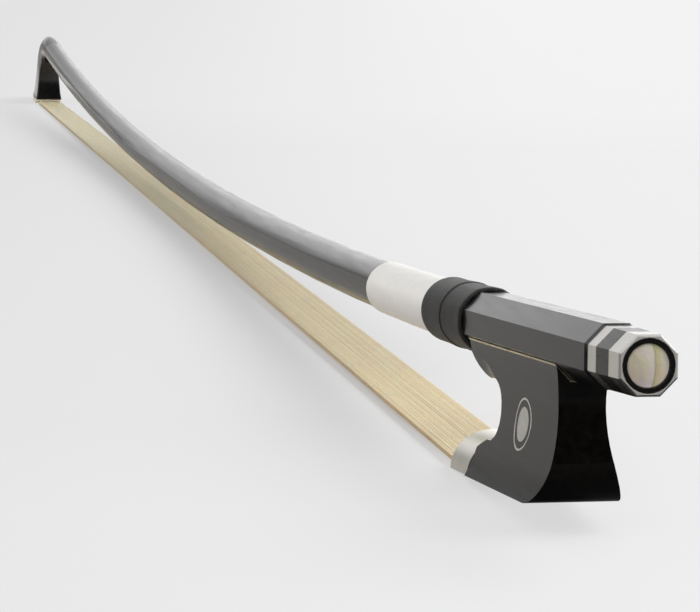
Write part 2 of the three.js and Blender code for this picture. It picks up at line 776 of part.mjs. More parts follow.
function linerPinPlaces() {
  return [FROG_HEEL + LINER_PIN_INSET, FROG_TOP_FRONT - LINER_PIN_INSET];
}

function linerPinTo(distance, top, spread) {
  const bottom = new THREE.Vector3(-distance, 0, -LINER_INNER - LINER_PIN_LENGTH - spread);
  return pinOf(bottom, new THREE.Vector3(-distance, 0, top), LINER_PIN + 2 * spread);
}

function linerPinCuts() {
  return linerPinPlaces().map((distance) => linerPinTo(distance, 0, SEAT_GAP));
}

function makeLinerPin(distance) {
  return linerPinTo(distance, -LINER_INNER - SEAT_GAP, 0);
}

function makeFrogBody() {
  const seat = octagonBar([[FROG_HEEL - OVERRUN, 2 * FROG_SEAT], [FROG_REACH, 2 * FROG_SEAT]]);
  return subtractAll(frogBlank(), [
    seat, ...hairCuts(), ...eyeletCuts(), ...eyeCuts(-1), ...eyeCuts(1), ...linerPinCuts(),
  ]).add(frogTongue());
}

// Metal liner: three facets that slide on the three lower facets of the stick
function makeLiner() {
  const outer = octagonBar([
    [FROG_HEEL, 2 * (LINER_INNER + LINER_THICK)], [FROG_TOP_FRONT, 2 * (LINER_INNER + LINER_THICK)],
  ]);
  const inner = octagonBar([
    [FROG_HEEL - OVERRUN, 2 * LINER_INNER], [FROG_TOP_FRONT + OVERRUN, 2 * LINER_INNER],
  ]);
  const wide = 2 * frogHalfWidth(-FROG_TOP_DROP) - 2 * SEAT_GAP;
  const lower = blockOf(
    FROG_HEEL - OVERRUN, FROG_TOP_FRONT + OVERRUN, wide, -FLAT - 2 * OVERRUN, -FROG_TOP_DROP,
  );
  return subtractAll(outer.intersect(lower), [inner, eyeletCuts()[0], ...linerPinCuts()]);
}

function makeEyeRing(side) {
  return eyeRingTool(side, 0, INLAY_DEPTH).intersect(frogBlank());
}

function makeEyePearl(side) {
  return eyePlug(side, EYE_PEARL, INLAY_DEPTH).intersect(frogBlank());
}

function makeFerrule() {
  const half = FERRULE_WIDTH / 2;
  const shell = barOf(archOf(half, FERRULE_HEIGHT, -FROG_DEPTH), FERRULE_BACK + SEAT_GAP, FERRULE_FRONT);
  const hollow = barOf(
    archOf(half - FERRULE_WALL, FERRULE_HEIGHT - 2 * FERRULE_WALL, FERRULE_WALL - FROG_DEPTH),
    FERRULE_BACK - OVERRUN, FERRULE_FRONT + OVERRUN,
  );
  return shell.subtract(hollow);
}

function makeWedge() {
  const top = TONGUE_RISE - FROG_DEPTH - SEAT_GAP;
  const front = FERRULE_FRONT - TONGUE_SHORT;
  const back = front - WEDGE_LENGTH;
  const hairTop = (distance) => PLUG_GAP + HAIR_THICK / 2 + mix(
    HAIR_IN_CHANNEL, HAIR_AT_MOUTH, (distance - FERRULE_BACK) / FERRULE_LENGTH,
  );
  return slabOf([[back, top], [back, hairTop(back)], [front, hairTop(front)], [front, top]], WEDGE_WIDTH);
}

function slideSpan() {
  return [FROG_HEEL + SLIDE_SETBACK, FERRULE_BACK - SEAT_GAP];
}

function makeSlideBase() {
  const [back, front] = slideSpan();
  return barOf(slideSection(0, SLIDE_TOP + SLIDE_BASE_THICK), back, front);
}

function makeSlidePearl() {
  const [back, front] = slideSpan();
  return blockOf(back, front, SLIDE_WIDTH, -FROG_DEPTH, SLIDE_PEARL_THICK - FROG_DEPTH);
}

function makeFrogPlug() {
  const back = frogMortiseFront() - FROG_MORTISE_LENGTH + PLUG_GAP;
  const front = frogMortiseFront() - HAIR_CLEAR - HAIR_THICK - 2 * PLUG_GAP;
  const low = PLUG_GAP - SLIDE_TOP;
  return blockOf(back, front, FROG_MORTISE_WIDTH - 2 * PLUG_GAP, low, low + FROG_PLUG_THICK);
}

function makeFrogKnot() {
  const distance = frogMortiseFront() - HAIR_CLEAR - HAIR_THICK - PLUG_GAP - FROG_KNOT / 2;
  const height = FROG_MORTISE_RISE - FROG_DEPTH - PLUG_GAP - FROG_KNOT / 2;
  return knotOf(new THREE.Vector3(-distance, 0, height), FROG_KNOT / 2, FROG_MORTISE_WIDTH - 2 * PLUG_GAP);
}

// Eyelet: a block with a threaded stem in the frog, and the screw's hole across it
function makeEyelet() {
  const block = blockOf(
    EYELET_PLACE - EYELET_LENGTH / 2, EYELET_PLACE + EYELET_LENGTH / 2, EYELET_WIDTH,
    -FROG_SEAT - LINER_THICK + SEAT_GAP, EYELET_RISE,
  );
  const stem = pinOf(
    new THREE.Vector3(-EYELET_PLACE, 0, -FROG_SEAT - EYELET_STEM_LENGTH),
    new THREE.Vector3(-EYELET_PLACE, 0, -FROG_SEAT), EYELET_STEM,
  );
  const hole = rodOf(
    EYELET_PLACE - EYELET_LENGTH, EYELET_PLACE + EYELET_LENGTH, SCREW_DIAMETER + 2 * RUN_GAP,
  );
  return block.add(stem).subtract(hole);
}

// Screw: held in the button, free in the stick, with a smooth nose in its end bearing
function makeScrew() {
  return turnedOf([
    [SCREW_BACK, 0], [SCREW_BACK, SCREW_DIAMETER / 2],
    [SCREW_TIP - SCREW_POINT, SCREW_DIAMETER / 2], [SCREW_TIP, NOSE_DIAMETER / 2],
    [SCREW_TIP + NOSE_LENGTH - SCREW_POINT, NOSE_DIAMETER / 2], [SCREW_TIP + NOSE_LENGTH, 0],
  ]);
}

// Button: an ebony core with a spigot at each end, a metal collar on each spigot and a pearl in its end
function buttonFlats(distance) {
  return mix(BUTTON_BACK_FLATS, BUTTON_FRONT_FLATS, distance / BUTTON_LENGTH);
}

function makeButtonCore() {
  const bandBack = BACK_COLLAR_LENGTH + SEAT_GAP;
  const bandFront = BUTTON_LENGTH - FRONT_COLLAR_LENGTH - SEAT_GAP;
  const band = octagonBar([[bandBack, buttonFlats(bandBack)], [bandFront, buttonFlats(bandFront)]]);
  const backSpigot = rodOf(SEAT_GAP, bandBack + OVERRUN, BACK_SPIGOT);
  const frontSpigot = rodOf(bandFront - OVERRUN, BUTTON_LENGTH - BUTTON_STAND_OFF, FRONT_SPIGOT);
  const nippleRoom = rodOf(
    STICK_END - NIPPLE_LENGTH - BUTTON_STAND_OFF, STICK_END, NIPPLE_DIAMETER + 2 * RUN_GAP,
  );
  const screwRoom = rodOf(SCREW_BACK - SEAT_GAP, STICK_END, SCREW_DIAMETER + 2 * SEAT_GAP);
  const pearlRoom = rodOf(-OVERRUN, BUTTON_PEARL_THICK + 2 * SEAT_GAP, BUTTON_PEARL + 2 * SEAT_GAP);
  return subtractAll(band.add(backSpigot).add(frontSpigot), [nippleRoom, screwRoom, pearlRoom]);
}

function makeBackCollar() {
  const flatsBehind = buttonFlats(0) - 2 * COLLAR_CHAMFER;
  const ring = octagonBar([
    [0, flatsBehind], [COLLAR_CHAMFER, buttonFlats(COLLAR_CHAMFER)],
    [BACK_COLLAR_LENGTH, buttonFlats(BACK_COLLAR_LENGTH)],
  ]);
  return ring.subtract(rodOf(-OVERRUN, BACK_COLLAR_LENGTH + OVERRUN, BACK_SPIGOT + 2 * SEAT_GAP));
}

function makeFrontCollar() {
  const back = BUTTON_LENGTH - FRONT_COLLAR_LENGTH;
  const ring = octagonBar([[back, buttonFlats(back)], [BUTTON_LENGTH, buttonFlats(BUTTON_LENGTH)]]);
  return ring.subtract(rodOf(back - OVERRUN, BUTTON_LENGTH + OVERRUN, FRONT_SPIGOT + 2 * SEAT_GAP));
}

function makeButtonPearl() {
  const radius = BUTTON_PEARL / 2;
  const face = SEAT_GAP + BUTTON_PEARL_CROWN;
  return turnedOf([
    [SEAT_GAP, 0], [SEAT_GAP + BUTTON_PEARL_CROWN / 4, radius / 2], [face, radius],
    [BUTTON_PEARL_THICK + SEAT_GAP, radius], [BUTTON_PEARL_THICK + SEAT_GAP, 0],
  ]);
}

// Ribbon of hair: its middle line as places with widths, from the frog's mortise to the head's
function hairStations() {
  const mouthWidth = FERRULE_WIDTH - 2 * FERRULE_WALL - 2 * HAIR_CLEAR;
  const channelWidth = FROG_MORTISE_WIDTH - 2 * PLUG_GAP;
  const turnIn = frogMortiseFront() - HAIR_CLEAR - HAIR_THICK / 2;
  const knotHeight = FROG_MORTISE_RISE - FROG_DEPTH - PLUG_GAP - FROG_KNOT;
  const frogPoint = (distance, height) => new THREE.Vector3(-distance, 0, height);
  const rim = PLATE_RIM + HAIR_CLEAR + HAIR_THICK / 2;
  const tipWidth = HEAD_MORTISE_WIDTH - 2 * PLUG_GAP;
  const bend = HAIR_THICK * hairTurnShare;
  return [
    [frogPoint(turnIn, knotHeight + FROG_KNOT / 2), channelWidth],
    [frogPoint(turnIn, HAIR_IN_CHANNEL + HAIR_THICK), channelWidth],
    [frogPoint(turnIn + bend, HAIR_IN_CHANNEL + bend), channelWidth],
    [frogPoint(turnIn + HAIR_THICK, HAIR_IN_CHANNEL), channelWidth],
    [frogPoint(FERRULE_BACK, HAIR_IN_CHANNEL), HAIR_CHANNEL_WIDTH - 2 * PLUG_GAP],
    [frogPoint(FERRULE_FRONT, HAIR_AT_MOUTH), mouthWidth],
    [headPoint(-PLATE_RIM, 0, HAIR_AT_TIP), HAIR_TIP_WIDTH],
    [headPoint(rim - HAIR_THICK, 0, HAIR_AT_TIP), tipWidth],
    [headPoint(rim - bend, 0, HAIR_AT_TIP + bend), tipWidth],
    [headPoint(rim, 0, HAIR_AT_TIP + HAIR_THICK), tipWidth],
    [headPoint(rim, 0, HEAD_MORTISE_DEPTH - PLUG_GAP - HEAD_KNOT / 2), tipWidth],
  ];
}

function makeHair() {
  const stations = hairStations();
  const rings = stations.map(([place, width], index) => {
    const before = stations[Math.max(index - 1, 0)][0];
    const after = stations[Math.min(index + 1, stations.length - 1)][0];
    const along = after.clone().sub(before).normalize();
    const up = new THREE.Vector3(along.z, 0, -along.x).multiplyScalar(HAIR_THICK / 2);
    const side = new THREE.Vector3(0, width / 2, 0);
    return [
      place.clone().add(up).add(side), place.clone().add(up).sub(side),
      place.clone().sub(up).sub(side), place.clone().sub(up).add(side),
    ];
  });
  return loft(rings);
}

const finishes = {
  blackStick: { color: 0x2a2a2b, roughness: 0.22, metalness: 0 },
  ebony: { color: 0x171412, roughness: 0.3, metalness: 0 },
  silver: { color: 0xc9c7c3, roughness: 0.2, metalness: 1 },
  pearl: { color: 0xe6e4da, roughness: 0.2, metalness: 0 },
  bone: { color: 0xece7da, roughness: 0.4, metalness: 0 },
  leather: { color: 0x2b2a29, roughness: 0.75, metalness: 0 },
  hair: { color: 0xd9c8a0, roughness: 0.6, metalness: 0 },
  thread: { color: 0xb9a27a, roughness: 0.8, metalness: 0 },
  plugWood: { color: 0xc8a878, roughness: 0.8, metalness: 0 },
  brass: { color: 0xb08a45, roughness: 0.35, metalness: 1 },
  steel: { color: 0x9a9a9c, roughness: 0.3, metalness: 1 },
};

function meshOf(name, solid, finish) {
  const mesh = new THREE.Mesh(geometryOf(solid), new THREE.MeshStandardMaterial(finishes[finish]));
  mesh.name = name;
  return mesh;
}

function headGroup() {
  const group = new THREE.Group();
  group.applyMatrix4(HEAD_MATRIX);
  group.add(
    meshOf("tip_plate", makeTipPlate(), "bone"),
    meshOf("tip_plate_liner", makePlateLiner(), "ebony"),
    meshOf("head_plug", makeHeadPlug(), "plugWood"),
    meshOf("head_hair_knot", makeHeadKnot(), "thread"),
  );
  return group;
}

function stickGroup() {
  const group = new THREE.Group();
  group.add(
    meshOf("stick", makeStick(), "blackStick"),
    meshOf("thumb_grip", sleeveOf(GRIP_BACK, GRIP_LENGTH, GRIP_WALL, GRIP_ROUND), "leather"),
    meshOf("grip_front_band", sleeveOf(BAND_BACK, BAND_LENGTH, BAND_WALL, GRIP_ROUND), "leather"),
    meshOf("silver_lapping", sleeveOf(LAPPING_BACK, LAPPING_LENGTH, LAPPING_WALL, LAPPING_ROUND), "silver"),
    meshOf("hair_ribbon", makeHair(), "hair"),
    headGroup(),
  );
  return group;
}

function frogGroup() {
  const group = new THREE.Group();
  const [pinBack, pinFront] = linerPinPlaces();
  group.add(
    meshOf("frog_body", makeFrogBody(), "ebony"),
    meshOf("underslide_liner", makeLiner(), "silver"),
    meshOf("liner_pin_back", makeLinerPin(pinBack), "silver"),
    meshOf("liner_pin_front", makeLinerPin(pinFront), "silver"),
    meshOf("eye_ring_near", makeEyeRing(-1), "silver"),
    meshOf("eye_ring_far", makeEyeRing(1), "silver"),
    meshOf("eye_pearl_near", makeEyePearl(-1), "pearl"),
    meshOf("eye_pearl_far", makeEyePearl(1), "pearl"),
    meshOf("ferrule", makeFerrule(), "silver"),
    meshOf("ferrule_wedge", makeWedge(), "plugWood"),
    meshOf("slide_base", makeSlideBase(), "ebony"),
    meshOf("slide_pearl", makeSlidePearl(), "pearl"),
    meshOf("frog_plug", makeFrogPlug(), "plugWood"),
    meshOf("frog_hair_knot", makeFrogKnot(), "thread"),
    meshOf("eyelet", makeEyelet(), "brass"),
  );
  return group;
}

function screwGroup() {
  const group = new THREE.Group();
  group.add(
    meshOf("screw_shaft", makeScrew(), "steel"),
    meshOf("button_core", makeButtonCore(), "ebony"),
    meshOf("button_back_collar", makeBackCollar(), "silver"),
    meshOf("button_front_collar", makeFrontCollar(), "silver"),
    meshOf("button_pearl", makeButtonPearl(), "pearl"),
  );
  return group;
}

// The bow turned to stand on its ferrule and tip plate, and centred over its footprint
function makeBow() {
  const bow = new THREE.Group();
  bow.add(stickGroup(), frogGroup(), screwGroup());
  bow.rotation.y = -REST_ANGLE;
  const model = new THREE.Group();
  model.add(bow);
  model.updateMatrixWorld(true);
  const box = new THREE.Box3().setFromObject(model, true);
  const middle = box.getCenter(new THREE.Vector3());
  bow.position.set(-middle.x, -middle.y, -box.min.z);
  return model;
}

export default makeBow();
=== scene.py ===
# Cello bow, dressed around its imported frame. Metres, +Z up, the tip towards -X and the button towards +X.
import json
import math

import bmesh
import bpy
from mathutils import Matrix, Vector
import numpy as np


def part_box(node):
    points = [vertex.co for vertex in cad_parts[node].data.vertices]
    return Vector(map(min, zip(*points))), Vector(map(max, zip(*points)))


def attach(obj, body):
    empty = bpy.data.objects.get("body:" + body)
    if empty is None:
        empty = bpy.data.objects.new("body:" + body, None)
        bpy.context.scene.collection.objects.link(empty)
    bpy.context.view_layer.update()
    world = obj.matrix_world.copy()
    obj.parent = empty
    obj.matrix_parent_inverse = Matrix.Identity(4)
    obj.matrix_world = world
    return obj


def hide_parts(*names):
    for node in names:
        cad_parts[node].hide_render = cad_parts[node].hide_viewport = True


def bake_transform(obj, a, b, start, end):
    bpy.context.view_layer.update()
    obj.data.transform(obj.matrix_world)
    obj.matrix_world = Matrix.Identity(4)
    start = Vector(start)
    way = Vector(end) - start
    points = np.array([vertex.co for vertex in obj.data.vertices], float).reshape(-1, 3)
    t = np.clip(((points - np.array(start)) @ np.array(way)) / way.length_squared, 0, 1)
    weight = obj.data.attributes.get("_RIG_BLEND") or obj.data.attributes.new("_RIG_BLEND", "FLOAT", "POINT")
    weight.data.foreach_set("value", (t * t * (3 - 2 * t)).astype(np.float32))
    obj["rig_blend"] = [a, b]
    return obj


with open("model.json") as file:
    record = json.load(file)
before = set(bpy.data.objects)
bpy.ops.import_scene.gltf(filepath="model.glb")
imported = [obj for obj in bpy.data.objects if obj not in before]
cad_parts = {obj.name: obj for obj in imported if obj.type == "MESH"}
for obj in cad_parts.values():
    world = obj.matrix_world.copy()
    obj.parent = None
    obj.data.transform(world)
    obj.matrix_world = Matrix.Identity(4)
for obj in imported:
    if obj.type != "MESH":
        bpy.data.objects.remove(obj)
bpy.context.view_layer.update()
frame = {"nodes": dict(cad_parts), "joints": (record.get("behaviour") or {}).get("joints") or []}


# Studio: a pale table, lit softly from below, that runs on past every edge of the view, a bright soft sky
# beyond the tip, and a dark room behind the camera, so that black faces turned to it stay black.
def place_node(tree, kind, inputs=None, **settings):
    """A node of a tree; inputs pairs a socket's name or number with a value or another node's socket."""
    node = tree.nodes.new(kind)
    for name, value in settings.items():
        setattr(node, name, value)
    for key, value in (inputs or {}).items():
        if isinstance(value, bpy.types.NodeSocket):
            tree.links.new(value, node.inputs[key])
        else:
            node.inputs[key].default_value = value
    return node


def place_ramp(tree, share, stops):
    """A colour ramp read at share; stops pairs places, in rising order, with colours or grey levels."""
    node = place_node(tree, "ShaderNodeValToRGB", {"Fac": share})
    elements = node.color_ramp.elements
    elements[0].position, elements[1].position = stops[0][0], stops[-1][0]
    for place, _ in stops[1:-1]:
        elements.new(place)
    for element, (_, colour) in zip(elements, stops):
        element.color = (*(colour if isinstance(colour, tuple) else (colour,) * 3), 1)
    return node.outputs["Color"]


def maths(tree, operation, *values, **settings):
    """One step of arithmetic on numbers."""
    inputs = dict(enumerate(values))
    return place_node(tree, "ShaderNodeMath", inputs, operation=operation, **settings).outputs[0]


def graded(tree, value, start, end, low=0.0, high=1.0, **settings):
    """A value from low to high, as another value goes from start to end."""
    inputs = {"Value": value, "From Min": start, "From Max": end, "To Min": low, "To Max": high}
    return place_node(tree, "ShaderNodeMapRange", inputs, **settings).outputs[0]


def mixed(tree, share, first, second, **settings):
    """Two colours mixed, with share of the second."""
    return place_node(
        tree, "ShaderNodeMix", {0: share, 6: first, 7: second}, data_type="RGBA", **settings).outputs[2]


def facing(tree, direction, towards):
    """How far a direction, or a place, lies towards another."""
    return place_node(
        tree, "ShaderNodeVectorMath", {0: direction, 1: towards}, operation="DOT_PRODUCT").outputs["Value"]


def vectors(tree, operation, first, second):
    """One step of arithmetic on two vectors or colours."""
    return place_node(
        tree, "ShaderNodeVectorMath", {0: first, 1: second}, operation=operation).outputs["Vector"]


def split(tree, vector):
    """A vector's parts X, Y and Z."""
    return place_node(tree, "ShaderNodeSeparateXYZ", {"Vector": vector}).outputs


def own_place(tree):
    """Where a point lies in its object's own space."""
    return place_node(tree, "ShaderNodeTexCoord").outputs["Object"]


def new_material(name, **values):
    """A material with plain values on its shader's own sockets; returns it with its tree and shader."""
    material = bpy.data.materials.new(name)
    material.use_nodes = True
    shader = material.node_tree.nodes["Principled BSDF"]
    for label, value in values.items():
        shader.inputs[label.replace("_", " ")].default_value = value
    return material, material.node_tree, shader


def feed(tree, shader, sources):
    """Feeds the shader's sockets from other nodes."""
    for label, source in sources.items():
        tree.links.new(source, shader.inputs[label])


def paint(piece, *materials):
    """Gives a piece these materials and no others."""
    piece.data.materials.clear()
    for material in materials:
        piece.data.materials.append(material)


def show(name, mesh):
    """An object for a mesh, put in the scene."""
    piece = bpy.data.objects.new(name, mesh)
    bpy.context.scene.collection.objects.link(piece)
    return piece


scene = bpy.context.scene
scene.view_settings.view_transform = "Standard"
scene.view_settings.look = "None"

CAMERA_PLACE = Vector((0.7700, -0.1472, 0.1173))
CAMERA_FORWARD = Vector((-0.9577, 0.2323, -0.1701)).normalized()
CAMERA_DOWN = Vector((0.1736, -0.0055, -0.9848))
CAMERA_LENS = 150.72
CLIP_NEAR, CLIP_FAR = 0.05, 60
camera = bpy.data.objects.new("camera", bpy.data.cameras.new("camera"))
scene.collection.objects.link(camera)
scene.camera = camera
camera_right = CAMERA_DOWN.cross(CAMERA_FORWARD).normalized()
camera_up = camera_right.cross(CAMERA_FORWARD)
camera_turn = Matrix((camera_right, camera_up, -CAMERA_FORWARD)).transposed().to_4x4()
camera.matrix_world = Matrix.Translation(CAMERA_PLACE) @ camera_turn
camera.data.lens = CAMERA_LENS
camera.data.clip_start = CLIP_NEAR
camera.data.clip_end = CLIP_FAR

FLOOR_HALF = 30
floor_corners = [(x * FLOOR_HALF, y * FLOOR_HALF, 0) for x, y in ((-1, -1), (1, -1), (1, 1), (-1, 1))]
floor_mesh = bpy.data.meshes.new("floor")
floor_mesh.from_pydata(floor_corners, [], [(0, 1, 2, 3)])
floor = show("floor", floor_mesh)
light_table, table_tree, table_shader = new_material(
    "light_table", Roughness=0.9, Specular_IOR_Level=0.05, Emission_Strength=1.0)

# What the camera sees: a glow that rises across the table, and a tone that takes more of the bow's shadow
# under its middle than at its ends. Where the tone is darker, the glow makes up for it.
GLOW_ACROSS, GLOW_FROM, GLOW_TO, GLOW_LOW, GLOW_HIGH = (0.2357, 0.9718, 0), -0.16, 0.14, 0.20, 0.32
TONE_FROM, TONE_TO, TONE_FULL, TONE_LIT = -0.4, 0.4, 0.35, 1.57
TONE_STOPS = [
    (0.09, (0.13, 0.13, 0.132)), (0.25, (0.35, 0.35, 0.353)), (0.79, (0.35, 0.35, 0.353)),
    (0.88, (0.13, 0.13, 0.132))]
table_place = own_place(table_tree)
table_along = split(table_tree, table_place)
table_slope = graded(
    table_tree, facing(table_tree, table_place, GLOW_ACROSS), GLOW_FROM, GLOW_TO, GLOW_LOW, GLOW_HIGH,
    interpolation_type="SMOOTHSTEP")
table_tone = place_ramp(table_tree, graded(table_tree, table_along["X"], TONE_FROM, TONE_TO), TONE_STOPS)
tone_lift = maths(table_tree, "MULTIPLY_ADD", table_tone, -TONE_LIT, TONE_FULL * TONE_LIT)
table_glow = maths(table_tree, "ADD", table_slope, tone_lift)

# What the bow reflects: a darker table that glows more on its far side and beyond the tip, and not at all
# under the button.
TONE_ON_BOW = (0.05, 0.05, 0.05, 1)
SIDE_FROM, SIDE_TO = -0.1, 0.1
SIDE_GLOW = [(0.44, (0.37, 0.355, 0.335)), (0.65, 0.90), (1.0, 1.42)]
FRONT_FROM, FRONT_TO = -0.7, 2.3
FRONT_GLOW = [
    (0.06, 1.1), (0.0733, 2.4), (0.105, 2.4), (0.11, 1.0), (0.3283, 1.0), (0.34, 0.0), (0.6, 0.0),
    (0.8333, 0.4)]
side_glow = place_ramp(table_tree, graded(table_tree, table_along["Y"], SIDE_FROM, SIDE_TO), SIDE_GLOW)
front_glow = place_ramp(table_tree, graded(table_tree, table_along["X"], FRONT_FROM, FRONT_TO), FRONT_GLOW)
glow_on_bow = vectors(table_tree, "MULTIPLY", side_glow, front_glow)
table_seen = place_node(table_tree, "ShaderNodeLightPath").outputs["Is Camera Ray"]
feed(table_tree, table_shader, {
    "Emission Color": mixed(table_tree, table_seen, glow_on_bow, table_glow),
    "Base Color": mixed(table_tree, table_seen, TONE_ON_BOW, table_tone)})
paint(floor, light_table)

# The sky brightens towards SKY_FROM and changes with its height. A lamp has a direction, two places between
# which its edge softens, and a strength.
SKY_FROM = (-0.76, 0.42, 0.50)
SKY_STOPS = [
    (0.0, 0.0), (0.36, 0.01), (0.50, 0.45), (0.80, 0.42), (0.82, 0.48), (0.862, 0.85), (0.904, 1.15),
    (0.94, 1.3), (1.0, 2.0)]
HORIZON_STOPS = [(0.0, 0.5), (0.02, 0.56), (0.06, 0.80), (0.15, 1.35), (0.19, 1.0), (0.27, 0.62), (0.6, 1.0)]
LAMPS = [((0.45, -0.70, 0.55), 0.60, 0.92, 1.5), ((0.05, 0.70, 0.71), 0.89, 0.985, 7.6)]
BACKGROUND = (0.86, 0.86, 0.865, 1)
world = bpy.data.worlds.new("studio")
scene.world = world
world.use_nodes = True
sky = world.node_tree
sky.nodes.clear()
sky_direction = place_node(sky, "ShaderNodeTexCoord").outputs["Generated"]
sky_glow = place_ramp(sky, graded(sky, facing(sky, sky_direction, SKY_FROM), -1, 1), SKY_STOPS)
for lamp_from, lamp_edge, lamp_full, lamp_strength in LAMPS:
    lamp = graded(
        sky, facing(sky, sky_direction, lamp_from), lamp_edge, lamp_full, high=lamp_strength,
        interpolation_type="SMOOTHSTEP")
    sky_glow = vectors(sky, "ADD", sky_glow, lamp)
sky_height = split(sky, sky_direction)["Z"]
dimmed = vectors(sky, "MULTIPLY", sky_glow, place_ramp(sky, sky_height, HORIZON_STOPS))
sky_seen = place_node(sky, "ShaderNodeLightPath").outputs["Is Camera Ray"]
glow = place_node(
    sky, "ShaderNodeBackground", {"Color": mixed(sky, sky_seen, dimmed, BACKGROUND), "Strength": 1.0})
place_node(sky, "ShaderNodeOutputWorld", {"Surface": glow.outputs[0]})


# Stick: one rod of black composite with its head drawn out of the same piece. It is eight-sided at the
# handle, round from the grip on, and cambered. Its edges are rubbed soft and its lacquer is polished.
def new_group(name, inputs, outputs):
    """A shader node group with named sockets, and the outputs of its input node."""
    group = bpy.data.node_groups.new(name, "ShaderNodeTree")
    for label, kind in inputs.items():
        group.interface.new_socket(name=label, in_out="INPUT", socket_type="NodeSocket" + kind)
    for label, kind in outputs.items():
        group.interface.new_socket(name=label, in_out="OUTPUT", socket_type="NodeSocket" + kind)
    return group, place_node(group, "NodeGroupInput").outputs


def noise(tree, place, scale, detail=2.0, **inputs):
    """Soft noise at a place, with scale lumps to the metre."""
    return place_node(tree, "ShaderNodeTexNoise", {
        "Vector": place, "Scale": scale, "Detail": detail, **inputs}).outputs["Fac"]


def make_marks_group():
    """Fine marks drawn out along one direction, as polishing, drawing or grain leaves them."""
    MIDDLE = 0.5
    group, given = new_group(
        "fine_marks", {"Scale": "Float", "Stretch": "Vector", "Contrast": "Float"},
        {"Tone": "Float", "Height": "Float"})
    place = own_place(group)
    drawn = vectors(group, "MULTIPLY", place, given["Stretch"])
    marks = noise(group, drawn, given["Scale"], 5, Roughness=0.6)
    centred = maths(group, "SUBTRACT", marks, MIDDLE)
    spread = maths(group, "MULTIPLY_ADD", centred, given["Contrast"], MIDDLE, use_clamp=True)
    place_node(group, "NodeGroupOutput", {"Tone": spread, "Height": marks})
    return group


def make_wear_group():
    """Rubbed edges, and dust that has settled on faces turned up."""
    PATCH_SCALE, SPECK_SCALE = 260, 5200
    RUBBED_FROM, RUBBED_FULL, LEVEL_FROM, GRAIN_FROM, GRAIN_FULL = 0.4, 0.65, 0.55, 0.62, 0.75
    group, given = new_group(
        "handling", {"Edge": "Float", "Dust": "Float"}, {"Edges": "Float", "Dust": "Float"})
    normal = place_node(group, "ShaderNodeNewGeometry").outputs["Normal"]
    place = own_place(group)
    eased = place_node(group, "ShaderNodeAttribute", attribute_name="eased_edge").outputs["Fac"]
    patches = graded(group, noise(group, place, PATCH_SCALE, 3), RUBBED_FROM, RUBBED_FULL)
    rubbed = maths(group, "MULTIPLY", eased, patches)
    edges = maths(group, "MULTIPLY", rubbed, given["Edge"], use_clamp=True)
    upward = split(group, normal)["Z"]
    grains = graded(group, noise(group, place, SPECK_SCALE, 1), GRAIN_FROM, GRAIN_FULL)
    lying = maths(group, "MULTIPLY", graded(group, upward, LEVEL_FROM, 1), grains)
    dust = maths(group, "MULTIPLY", lying, given["Dust"], use_clamp=True)
    place_node(group, "NodeGroupOutput", {"Edges": edges, "Dust": dust})
    return group


MARKS = make_marks_group()
HANDLING = make_wear_group()


def bumps(tree, height, depth):
    """A surface raised by up to a depth."""
    return place_node(tree, "ShaderNodeBump", {"Height": height, "Distance": depth}).outputs[0]


def marked(tree, shader, scale, stretch, contrast, colours, roughness, depth):
    """Fine marks in the shader's colour, roughness and surface; returns the first two for wear to change."""
    marks = place_node(tree, "ShaderNodeGroup", node_tree=MARKS)
    for label, value in {"Scale": scale, "Stretch": stretch, "Contrast": contrast}.items():
        marks.inputs[label].default_value = value
    tone = marks.outputs["Tone"]
    colour = mixed(tree, tone, (*colours[0], 1), (*colours[1], 1))
    rough = graded(tree, tone, 0, 1, *roughness)
    relief = bumps(tree, marks.outputs["Height"], depth)
    feed(tree, shader, {"Base Color": colour, "Roughness": rough, "Normal": relief})
    return colour, rough


def handled(tree, shader, colour, rough, edge, edge_colour, dust):
    """Rubbed edges and dust over a finish."""
    DUST_COLOUR, DULLING = (0.42, 0.41, 0.39, 1), 0.2
    wear = place_node(tree, "ShaderNodeGroup", node_tree=HANDLING)
    wear.inputs["Edge"].default_value = edge
    wear.inputs["Dust"].default_value = dust
    rubbed = mixed(tree, wear.outputs["Edges"], colour, (*edge_colour, 1))
    dusty = mixed(tree, wear.outputs["Dust"], rubbed, DUST_COLOUR)
    duller = maths(tree, "MULTIPLY_ADD", wear.outputs["Edges"], DULLING, rough, use_clamp=True)
    feed(tree, shader, {"Base Color": dusty, "Roughness": duller})


def settle(piece):
    """Works a piece's modifiers into its mesh."""
    graph = bpy.context.evaluated_depsgraph_get()
    mesh = bpy.data.meshes.new_from_object(piece.evaluated_get(graph), depsgraph=graph)
    piece.modifiers.clear()
    piece.data = mesh


